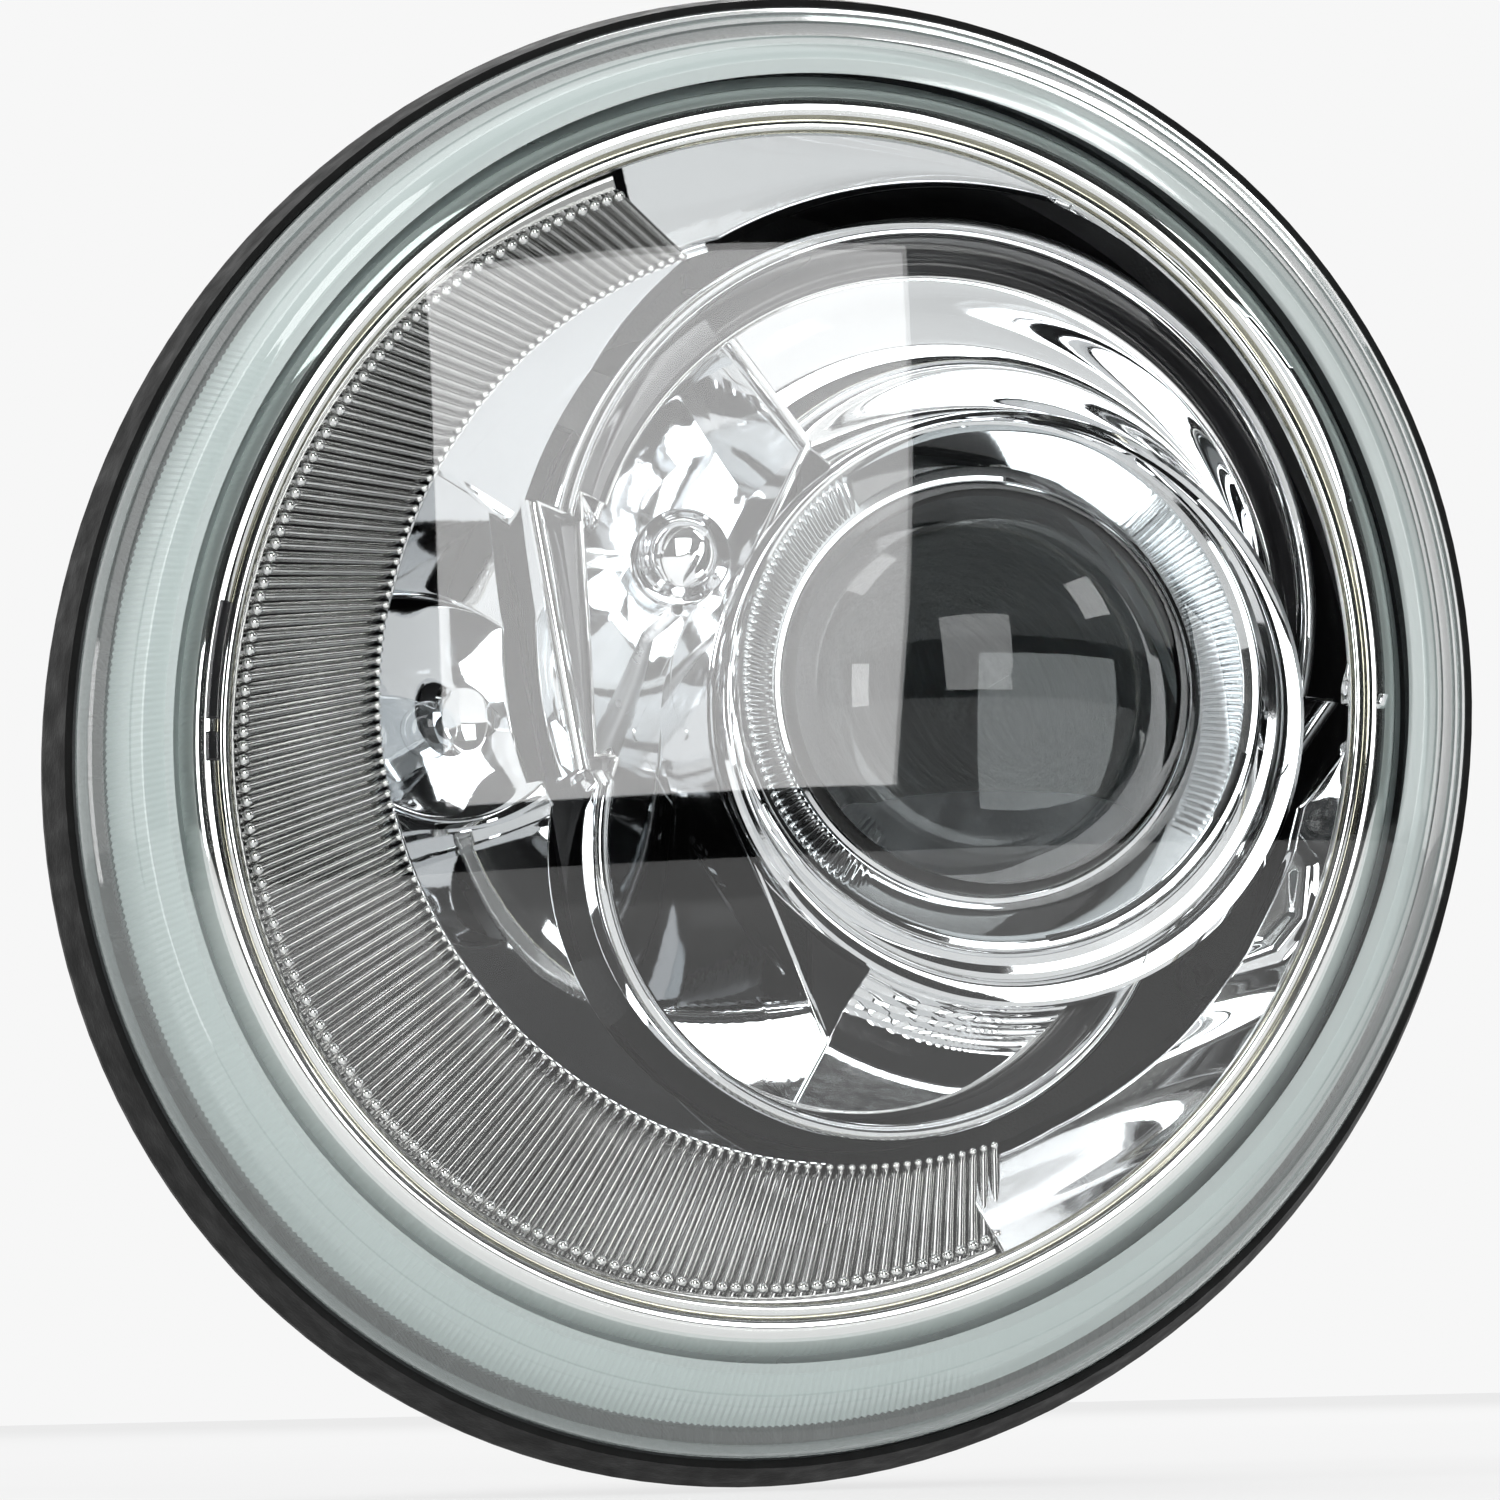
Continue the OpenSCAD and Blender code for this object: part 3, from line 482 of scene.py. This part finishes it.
def trim_ring():
    profile = [(91.4, -13.9), (91.8, -14.7), (92.5, -15.0), (93.1, -14.7), (93.5, -14.4), (94.1, -15.0),
               (95.0, -15.4), (96.6, -15.0), (98.2, -13.8), (99.5, -12.0), (101.4, -7.4), (103.0, -3.0),
               (104.0, 9.0), (103.05, 9.0), (101.3, -2.5), (98.0, -11.0), (96.0, -13.3), (91.4, -12.1)]
    finishes = [1, 0, 0, 0, 1, 0, 0, 0, 0] + [2] * 9
    rim("trim_ring_chrome", profile, 720, [RING_CHROME, GOLD_EDGE, RING_SATIN], "housing", finishes,
        replaces=("trim_ring",), sharp=50)


def painted_slot_shade():
    """Black sheets laid on the left of the trim ring paint the shade of a slot, with the chrome of one tab
    left between.
    """
    for name, first, last in (("painted_slot_shade_long", 169.5, 181.0), ("painted_slot_shade_short", 182.2, 185.0)):
        rows = []
        for r, depth in ((93.5, -14.45), (93.6, -14.6), (94.1, -15.1), (95.0, -15.5), (95.4, -15.45),
                         (95.5, -15.3)):
            row = []
            for a in sweep_angles(first, last):
                reach = oval_reach(r, a)
                row.append(spot(reach * math.cos(a), reach * math.sin(a), depth))
            rows.append(row)
        verts, faces = grid(rows, False)
        thicken(face_front(piece(name, verts, faces, [SMOKED], "housing", (), "chrome", 40)), 0.3)


# ---- fluted crescent ----


def funnel_depth(x, z):
    """The fixed chrome falls away from the trim ring to the middle."""
    angle = math.atan2(z, x)
    r = math.hypot(x, z) / oval_reach(1.0, angle)
    return 13.4 - (r - 55) * 26.1 / 38


def fluted_crescent():
    """Rounded flutes that run to one point right of the middle, each with a bead at its outer end."""
    hub = (45.8, 34.0)
    count, across, along = 132, 10, 14
    first, last = math.radians(144.4), math.radians(263.4)

    def outer_r(angle):
        turn = math.degrees(angle) % 360
        return 90.7 - 1.9 * (1 - smoothstep(105, 140, turn)) - 0.7 * smoothstep(250, 290, turn)

    def to_oval(angle):
        low, high = 20.0, 200.0
        for _ in range(40):
            mid = (low + high) / 2
            x, z = hub[0] + mid * math.cos(angle), hub[1] + mid * math.sin(angle)
            around = math.atan2(z, x)
            inside = math.hypot(x, z) < oval_reach(outer_r(around), around)
            low, high = (mid, high) if inside else (low, mid)
        return low

    # equal spacing along the outer edge
    fine = 600
    angles = [first + (last - first) * i / fine for i in range(fine + 1)]
    ends = [(hub[0] + to_oval(a) * math.cos(a), hub[1] + to_oval(a) * math.sin(a)) for a in angles]
    run = [0.0]
    for p, q in zip(ends, ends[1:]):
        run.append(run[-1] + math.dist(p, q))

    def angle_at(share):
        want = share * run[-1]
        k = max(i for i in range(fine) if run[i] <= want)
        t = (want - run[k]) / (run[k + 1] - run[k])
        return angles[k] + t * (angles[k + 1] - angles[k])

    rows = []
    k = 0
    for i in range(count * across + 1):
        want = i / (count * across) * run[-1]
        while k < fine - 1 and run[k + 1] < want:
            k += 1
        t = (want - run[k]) / (run[k + 1] - run[k])
        a = angles[k] + t * (angles[k + 1] - angles[k])
        near = circle_reach(hub, a, (*CRESCENT, CRESCENT_R + 0.2)) or 0
        far = to_oval(a)
        phase = (i % across) / across
        ridge = math.sin(math.pi * phase)
        row = []
        for j in range(along + 1):
            reach = near + (far - near) * (j / along) ** 0.8
            x, z = hub[0] + reach * math.cos(a), hub[1] + reach * math.sin(a)
            from_end = far - reach
            taper = min(1.0, math.sqrt(max(0.0, from_end / 1.6))) if from_end < 1.6 else 1.0
            lift = 1.0 * (ridge ** 0.9) * (0.35 + 0.65 * taper)
            row.append(spot(x, z, funnel_depth(x, z) - 0.2 - lift))
        around = math.atan2(z, x)
        for r, drop in ((outer_r(around) + 0.25, 0.9), (TRIM_R + 0.6, 1.2)):
            reach = oval_reach(r, around)
            x, z = reach * math.cos(around), reach * math.sin(around)
            row.append(spot(x, z, funnel_depth(x, z) + drop))
        rows.append(row)
    verts, faces = grid(rows, False)
    flutes = piece("fluted_crescent", verts, faces, [FLUTE_CHROME_PAINTED_SHADE], "housing", ("fluted_reflector",),
                   "chrome", 40)
    face_front(flutes)
    thicken(flutes, 1.2)
    # a small ball closes each flute at its outer end, and a fine one at its inner end
    bm = bmesh.new()
    for i in range(count):
        a = angle_at((i + 0.5) / count)
        far = to_oval(a)
        near = circle_reach(hub, a, (*CRESCENT, CRESCENT_R + 0.2)) or 0
        for reach, size in ((far - 1.5, 1.0), (near + 0.5, 0.7)):
            x, z = hub[0] + reach * math.cos(a), hub[1] + reach * math.sin(a)
            place = Matrix.Translation(spot(x, z, funnel_depth(x, z) - 1.0))
            bmesh.ops.create_icosphere(bm, subdivisions=2, radius=size * MM, matrix=place)
    mesh = bpy.data.meshes.new("flute_beads")
    bm.to_mesh(mesh)
    bm.free()
    mesh.shade_smooth()
    mesh.materials.append(RING_CHROME)
    beads = bpy.data.objects.new("flute_beads", mesh)
    bpy.context.scene.collection.objects.link(beads)
    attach(beads, "housing")


# ---- fixed chrome ----


def field(name, origin, angles, inner, outer, depth, rows, replaces, sharp=30.0):
    """A chrome sheet between two outlines round an origin, at the depth a rule gives."""
    lines = []
    for j in range(rows + 1):
        t = j / rows
        line = []
        for a in angles:
            near, far = inner(a), outer(a)
            reach = near + (far - near) * t
            x, z = origin[0] + reach * math.cos(a), origin[1] + reach * math.sin(a)
            line.append(spot(x, z, depth(x, z, t, a)))
        lines.append(line)
    verts, faces = grid(lines, False)
    sheet = piece(name, verts, faces, [CHROME], "housing", replaces, "chrome", sharp)
    thicken(face_front(sheet), 1.2)


def sweep_angles(first, last, step=0.25):
    """Angles in radians from first to last, given in degrees."""
    count = int(abs(last - first) / step)
    return [math.radians(first + (last - first) * i / count) for i in range(count + 1)]


def fold(x, z, a, b, width):
    """A signed distance across the line from a to b, eased over a width to -1..1."""
    dx, dz = b[0] - a[0], b[1] - a[1]
    d = ((x - a[0]) * dz - (z - a[1]) * dx) / math.hypot(dx, dz)
    return 2 * smoothstep(-width, width, d) - 1


def fixed_bezel():
    """Right of the crescent the chrome runs down to the shroud; left of it lies a deep bowl."""

    def right_inner(a):
        crescent = circle_reach((0, 0), a, (*CRESCENT, CRESCENT_R))
        return max(twin_reach((0, 0), a, SHROUD, AIM_GAP), crescent)

    loop = ((44.0, -49.0), (65.9, -43.5), (79.5, -39.3), (84.0, -33.9), (85.2, -25.5), (82.5, -20.4),
            (76.0, -14.0))

    def to_loop(x, z):
        """How far a point lies from the raised loop."""
        best = 1e9
        for (ax, az), (bx, bz) in zip(loop, loop[1:]):
            dx, dz = bx - ax, bz - az
            share = min(1.0, max(0.0, ((x - ax) * dx + (z - az) * dz) / (dx * dx + dz * dz)))
            best = min(best, math.hypot(x - ax - share * dx, z - az - share * dz))
        return best

    def right_depth(x, z, t, a):
        lower = 1 - smoothstep(-16, 4, z)
        # a raised loop round a smooth panel, then two soft steps that fall to the crescent
        ridge = 1.3 * math.exp(-(to_loop(x, z) / 1.7) ** 2)
        step = 0.9 * fold(x, z, (50.0, -58.0), (84.0, -46.0), 3.0)
        tail = 0.9 * fold(x, z, (44.0, -74.0), (82.0, -58.0), 5.0)
        lip = 3.0 * (1 - smoothstep(0.0, 0.12, t))
        wave = 1.6 * math.sin(3 * a + 0.6) * t * (1 - t)
        return funnel_depth(x, z) - lower * (ridge + step + tail) + lip + wave

    field("bezel_field", (0, 0), sweep_angles(-70.6, 107.0), right_inner,
          lambda a: oval_reach(TRIM_R + 0.4, a), right_depth, 56, ("inner_bezel",), sharp=60.0)

    def bowl_inner(a):
        return twin_reach(CRESCENT, a, SHROUD, AIM_GAP)

    def bowl_depth(x, z, t, a):
        edge_x = CRESCENT[0] + CRESCENT_R * math.cos(a)
        edge_z = CRESCENT[1] + CRESCENT_R * math.sin(a)
        top = funnel_depth(edge_x, edge_z)
        run = CRESCENT_R - math.hypot(x - CRESCENT[0], z - CRESCENT[1])
        share = min(1.0, max(0.0, run / 30.0))
        bowl = top + (24.0 - top) * (1 - (1 - share) ** 2.2)
        rho = math.hypot(x + 48.5, z - 3.5)
        gap = 37.0 - rho ** 2 / 18.0 - bowl
        return bowl + (gap + math.sqrt(gap * gap + 1.0)) / 2

    open_angles = [a for a in sweep_angles(98.0, 290.0) if bowl_inner(a) < CRESCENT_R - 0.5]
    field("bezel_bowl", CRESCENT, open_angles, bowl_inner, lambda a: CRESCENT_R, bowl_depth, 60,
          ("position_reflector",))


# ---- aimed shroud ----

MIDDLE = (22.0, 4.0)


def outline_row(twin, margin, depth, steps):
    """One row of points round an outline."""
    row = []
    for i in range(steps):
        a = TAU * i / steps
        r = twin_reach(MIDDLE, a, twin, margin)
        row.append(spot(MIDDLE[0] + r * math.cos(a), MIDDLE[1] + r * math.sin(a), depth))
    return row


def shroud():
    """The moving shroud: its rolled rim, the dark band inside it and the thin lip of the band."""
    steps = 960
    rim_profile = ((-2.2, 30.0), (-0.05, 30.0), (-0.05, 0.4), (-0.25, -0.8), (-0.8, -1.6), (-1.6, -1.9),
                   (-2.4, -1.4), (-3.0, -0.2), (-3.2, 1.0), (-3.2, 3.2), (-2.2, 4.4), (-2.2, 30.0))
    rim_rows = [outline_row(SHROUD, margin, depth, steps) for margin, depth in rim_profile]
    verts, faces = grid(rim_rows, True)
    piece("shroud_rim", verts, faces, [CHROME], "carrier", ("main_shroud",), "chrome", 40)
    # the sunken dark band between the rim and the reflectors
    band = []
    for j in range(13):
        t = j / 12
        row = []
        for i in range(steps):
            a = TAU * i / steps
            far = twin_reach(MIDDLE, a, SHROUD, -3.0)
            near = twin_reach(MIDDLE, a, BAND_INNER, 0.0)
            r = far + (near - far) * t
            row.append(spot(MIDDLE[0] + r * math.cos(a), MIDDLE[1] + r * math.sin(a),
                            0.6 + 5.2 * math.sin(math.pi * min(1.0, t * 1.15) * 0.5) + 0.4 * t))
        band.append(row)
    verts, faces = grid(band, True)
    thicken(face_front(piece("shroud_band", verts, faces, [SMOKED], "carrier", (), "chrome", 40)), 1.2)
    lip = [outline_row(BAND_INNER, m, d, steps) for m, d in
           ((0.3, 7.6), (0.3, 4.4), (0.0, 3.7), (-0.5, 3.4), (-1.0, 3.7), (-1.2, 4.4), (-1.2, 7.6))]
    verts, faces = grid(lip, True)
    piece("shroud_inner_lip", verts, faces, [RING_CHROME], "carrier", (), "chrome", 50)


RINGS = (38.3, 2.1)
RING_R = 49.6


def projector_rings():
    """The bright cone round the projector lens and the stepped rings outside it."""
    x0, z0 = LOW
    table = [  # shift towards the outer rings, radius, depth
        (0.0, 34.9, 7.0), (0.0, 34.9, 3.6), (0.0, 35.3, 3.0), (0.0, 36.0, 3.1), (0.0, 36.5, 2.6),
        (0.0, 42.6, -4.6),
        (0.05, 43.4, -5.4), (0.1, 44.1, -5.5), (0.15, 44.6, -4.9), (0.2, 45.0, -3.4), (0.35, 45.7, -2.9),
        (0.5, 46.5, -3.3), (0.6, 47.0, -2.9), (0.7, 47.4, -1.9), (0.85, 48.3, -1.8), (1.0, 49.2, -2.2),
        (1.0, 49.9, -1.9), (1.0, 50.3, -0.9), (1.0, 50.4, 3.6), (1.0, 49.2, 3.6)]
    steps = 1440
    rows = []
    for shift, r, depth in table:
        cx, cz = x0 + (RINGS[0] - x0) * shift, z0 + (RINGS[1] - z0) * shift
        row = []
        for i in range(steps):
            a = TAU * i / steps
            row.append(spot(cx + r * math.cos(a), cz + r * math.sin(a), depth))
        rows.append(row)
    # flutes on the left of the cone
    cone = 12
    inner_row, outer_row = rows[4], rows[5]
    between = []
    for j in range(1, cone):
        t = j / cone
        row = []
        for i in range(steps):
            degrees = 360 * i / steps
            p = inner_row[i].lerp(outer_row[i], t)
            side = smoothstep(124, 132, degrees) * (1 - smoothstep(222, 238, degrees))
            window = side * smoothstep(0.06, 0.2, t) * (1 - smoothstep(0.86, 0.97, t))
            ripple = 0.45 * window * math.cos(math.radians(degrees) * 180)
            row.append(p + Vector((0, -(ripple + 0.2 * window) * MM, 0)))
        between.append(row)
    rows = rows[:5] + between + rows[5:]
    verts, faces = grid(rows, True)
    piece("projector_rings", verts, faces, [CHROME], "carrier", ("projector_bezel", "lens_retainer"),
          "chrome", 32)


LEDGE_COUNT = 4
APRON_ROWS = 44


def apron():
    """The chrome between the rings and the band: hollow on top, with rolled ledges below."""
    lines = [[] for _ in range(APRON_ROWS + 1)]
    for a in sweep_angles(-120.0, 126.0, 0.3):
        far = twin_reach(RINGS, a, BAND_INNER, -BAND_OVERLAP)
        near = min(RING_R + 0.2, far - 0.05)
        below = smoothstep(0.0, 0.55, -math.sin(a))
        upper = smoothstep(0.1, 0.6, math.sin(a))
        for k in range(APRON_ROWS + 1):
            share = k / APRON_ROWS
            run = (far - near) * share
            rolled = min(1.0, run / 7.2)
            wave = 0.3 * (1 - math.cos(TAU * LEDGE_COUNT * rolled)) * (1 - smoothstep(6.4, 7.4, run))
            drop = 0.2 + 4.6 * share + 7.5 * math.sin(math.pi * share) ** 1.3 * upper
            low = 0.2 + 6.2 * rolled - wave - 2.6 * smoothstep(5.0, 15.0, run)
            r = near + run
            lines[k].append(spot(RINGS[0] + r * math.cos(a), RINGS[1] + r * math.sin(a),
                                 drop + (low - drop) * below))
    verts, faces = grid(lines, False)
    sheet = piece("reflector_apron", verts, faces, [CHROME], "carrier", (), "chrome", 30)
    thicken(face_front(sheet), 1.0)


def high_bowl():
    """The deep bowl of the high beam, left of the rings."""
    origin = (-16.0, 5.0)
    first, last = 126.0, 240.0
    a0, a1 = math.radians(first), math.radians(last)

    def edge(angle_at_rings):
        r = twin_reach(RINGS, angle_at_rings, BAND_INNER, -BAND_OVERLAP)
        return RINGS[0] + r * math.cos(angle_at_rings), RINGS[1] + r * math.sin(angle_at_rings)

    top, bottom = edge(a0), edge(a1)
    top_in = (RINGS[0] + RING_R * math.cos(a0), RINGS[1] + RING_R * math.sin(a0))
    bottom_in = (RINGS[0] + RING_R * math.cos(a1), RINGS[1] + RING_R * math.sin(a1))

    def line_reach(angle, p, q):
        """Where a ray from the origin crosses the line from p to q, or None."""
        dx, dz = math.cos(angle), math.sin(angle)
        ex, ez = q[0] - p[0], q[1] - p[1]
        det = dx * -ez + dz * ex
        if abs(det) < 1e-9:
            return None
        px, pz = p[0] - origin[0], p[1] - origin[1]
        t = (px * -ez + pz * ex) / det
        s = (dx * pz - dz * px) / det
        return t if t > 0 and -0.001 <= s <= 1.001 else None

    def outer(a):
        found = [twin_reach(origin, a, BAND_INNER, -BAND_OVERLAP)]
        for p, q in ((top, top_in), (bottom, bottom_in)):
            hit = line_reach(a, p, q)
            if hit:
                found.append(hit)
        ox, oz = origin[0] - RINGS[0], origin[1] - RINGS[1]
        b = ox * math.cos(a) + oz * math.sin(a)
        disc = b * b - (ox * ox + oz * oz - RING_R ** 2)
        if disc > 0:
            near = -b - math.sqrt(disc)
            if near > 0:
                found.append(near)
        return min(found)

    def bowl_depth(x, z):
        deepest, width, front = 66, 105, 5.0
        gap = deepest - math.hypot(x - HIGH[0], z - HIGH[1]) ** 2 / width - front
        return front + (gap + math.sqrt(gap * gap + 4.0)) / 2

    angles = sweep_angles(0.0, 360.0, 0.375)[:-1]
    lines = []
    rows = 44
    for j in range(rows + 1):
        t = j / rows
        line = []
        for a in angles:
            reach = max(0.05, outer(a) * t)
            x, z = origin[0] + reach * math.cos(a), origin[1] + reach * math.sin(a)
            line.append(spot(x, z, bowl_depth(x, z)))
        lines.append(line)
    # the side wall comes forward to the band and the rings
    for share in (0.08, 0.3, 0.6, 0.85, 1.0):
        line = []
        for a in angles:
            reach = outer(a)
            x, z = origin[0] + reach * math.cos(a), origin[1] + reach * math.sin(a)
            deep = bowl_depth(x, z)
            line.append(spot(x, z, deep + (4.6 - deep) * share))
        lines.append(line)
    verts, faces = grid(lines, True)
    bowl = piece("high_beam_bowl", verts, faces, [CHROME], "carrier", ("high_reflector",), "chrome", 40)
    face_front(bowl)
    thicken(bowl, 1.0)


def glare_cap():
    """The cap in front of the high-beam bulb: a rolled rim and a shallow dome on a thin leg."""
    profile = [(0.02, 21.4), (1.6, 21.5), (3.6, 22.0), (5.4, 22.9), (6.7, 24.2), (7.3, 25.2), (7.7, 25.4),
               (8.1, 26.0), (8.1, 33.6), (7.9, 34.2), (7.3, 34.2), (7.1, 33.6), (7.1, 27.0), (0.02, 26.4)]
    turned("glare_cap_shell", HIGH, profile, 96, CHROME, ("glare_cap",), "chrome", 45)
    leg_drop = 8.4
    turned("glare_cap_leg", (HIGH[0], HIGH[1] - leg_drop),
           [(0.9, 33.0), (1.2, 33.0), (1.2, 66.0), (0.9, 66.0)], 16, SATIN, (), "chrome", 45)


def projector_lens():
    """A thick plano-convex lens with a flat flange."""
    dome_r, rise = 34.2, 16.0
    ball = (dome_r ** 2 + rise ** 2) / (2 * rise)
    profile = []
    for k in range(25):
        r = dome_r * k / 24
        profile.append((max(r, 0.02), 3 - rise + ball - math.sqrt(ball ** 2 - r ** 2)))
    profile += [(34.5, 3.05), (34.8, 3.4), (34.8, 5.6), (34.5, 6.0), (0.02, 6.0)]
    turned("projector_lens_glass", LOW, profile, 240, PROJECTOR_GLASS, ("projector_lens",),
           "projector_glass", 40)


# ---- studio ----


# share of the way from the front to the back, and the brightness the chrome sees there
SKY = ((0.0, 0.010), (0.30, 0.018), (0.50, 0.06), (0.58, 0.45), (0.70, 1.5))
BACKDROP = 0.93
# name, place in metres, width and height, watts: each faces the lamp
LIGHTS = (
    ("key_box", (0.033, -1.385, 0.457), (0.765, 0.871), 9.5),
    ("left_high_box", (-1.0, -0.25, 1.45), (0.8, 0.6), 9.0),
    ("left_front_box", (-1.25, -1.0, 0.16), (0.22, 0.5), 2.6),
    ("right_high_box", (1.5, -0.7, 1.2), (0.5, 0.5), 5.0),
    ("back_box", (0.6, 1.6, 1.2), (1.2, 0.8), 16.0),
)
CAMERA_PLACE = (-0.1669, -0.8954, -0.1100)
CAMERA_RIGHT = (0.98379, -0.17804, -0.02138)
CAMERA_UP = (0, -0.11923, 0.99287)
CAMERA_BEHIND = (-0.17932, -0.97677, -0.11729)


def light(name, place, size, power):
    """A rectangular area light that faces the lamp."""
    data = bpy.data.lights.new(name, "AREA")
    data.shape = "RECTANGLE"
    data.size, data.size_y = size
    data.energy = power
    obj = bpy.data.objects.new(name, data)
    obj.location = place
    obj.rotation_euler = (-Vector(place)).to_track_quat("-Z", "Y").to_euler()
    bpy.context.scene.collection.objects.link(obj)


def studio():
    """A pale floor and backdrop, soft boxes, and a room that is dark in front and bright behind."""
    scene = bpy.context.scene
    world = bpy.data.worlds.new("studio")
    scene.world = world
    world.use_nodes = True
    tree = world.node_tree
    tree.nodes.clear()
    out = tree.nodes.new("ShaderNodeOutputWorld")
    back = tree.nodes.new("ShaderNodeBackground")
    coords = tree.nodes.new("ShaderNodeTexCoord")
    split = tree.nodes.new("ShaderNodeSeparateXYZ")
    ramp = tree.nodes.new("ShaderNodeValToRGB")
    path = tree.nodes.new("ShaderNodeLightPath")
    mix = tree.nodes.new("ShaderNodeMix")
    mix.data_type = "RGBA"
    shift = tree.nodes.new("ShaderNodeMapRange")
    tree.links.new(coords.outputs["Generated"], split.inputs[0])
    tree.links.new(split.outputs["Y"], shift.inputs[0])
    shift.inputs[1].default_value = -1.0
    shift.inputs[2].default_value = 1.0
    tree.links.new(shift.outputs[0], ramp.inputs[0])
    stops = ramp.color_ramp.elements
    for i, (place, value) in enumerate((SKY[0], SKY[-1])):
        stops[i].position, stops[i].color = place, (value, value, value, 1)
    for place, value in SKY[1:-1]:
        stops.new(place).color = (value, value, value * 1.03, 1)
    tree.links.new(path.outputs["Is Camera Ray"], mix.inputs[0])
    tree.links.new(ramp.outputs[0], mix.inputs[6])
    mix.inputs[7].default_value = (BACKDROP, BACKDROP, BACKDROP, 1)
    tree.links.new(mix.outputs[2], back.inputs[0])
    tree.links.new(back.outputs[0], out.inputs[0])

    low = cad_bounds[0].z
    bm = bmesh.new()
    bmesh.ops.create_grid(bm, x_segments=8, y_segments=8, size=4.0)
    mesh = bpy.data.meshes.new("floor")
    bm.to_mesh(mesh)
    bm.free()
    floor = bpy.data.objects.new("floor", mesh)
    floor.location = (0, 0, low - 0.0005)
    mesh.materials.append(surface("pale_floor", (0.14, 0.14, 0.14), (0.16, 0.16, 0.16), (0.6, 0.8), 0.0, 2.0,
                                  Emission_Color=(1, 1, 1, 1), Emission_Strength=0.74,
                                  Specular_IOR_Level=0.0))
    scene.collection.objects.link(floor)

    for values in LIGHTS:
        light(*values)

    data = bpy.data.cameras.new("camera")
    data.lens = 130.3
    data.sensor_width = 36
    data.clip_start = 0.01
    data.clip_end = 50
    camera = bpy.data.objects.new("camera", data)
    turn = Matrix((CAMERA_RIGHT, CAMERA_UP, CAMERA_BEHIND)).transposed().to_4x4()
    camera.matrix_world = Matrix.Translation(CAMERA_PLACE) @ turn
    scene.collection.objects.link(camera)
    scene.camera = camera
    scene.view_settings.view_transform = "Standard"


finish_nodes()
outer_lens()
trim_ring()
painted_slot_shade()
fluted_crescent()
fixed_bezel()
shroud()
projector_rings()
apron()
high_bowl()
glare_cap()
projector_lens()
studio()
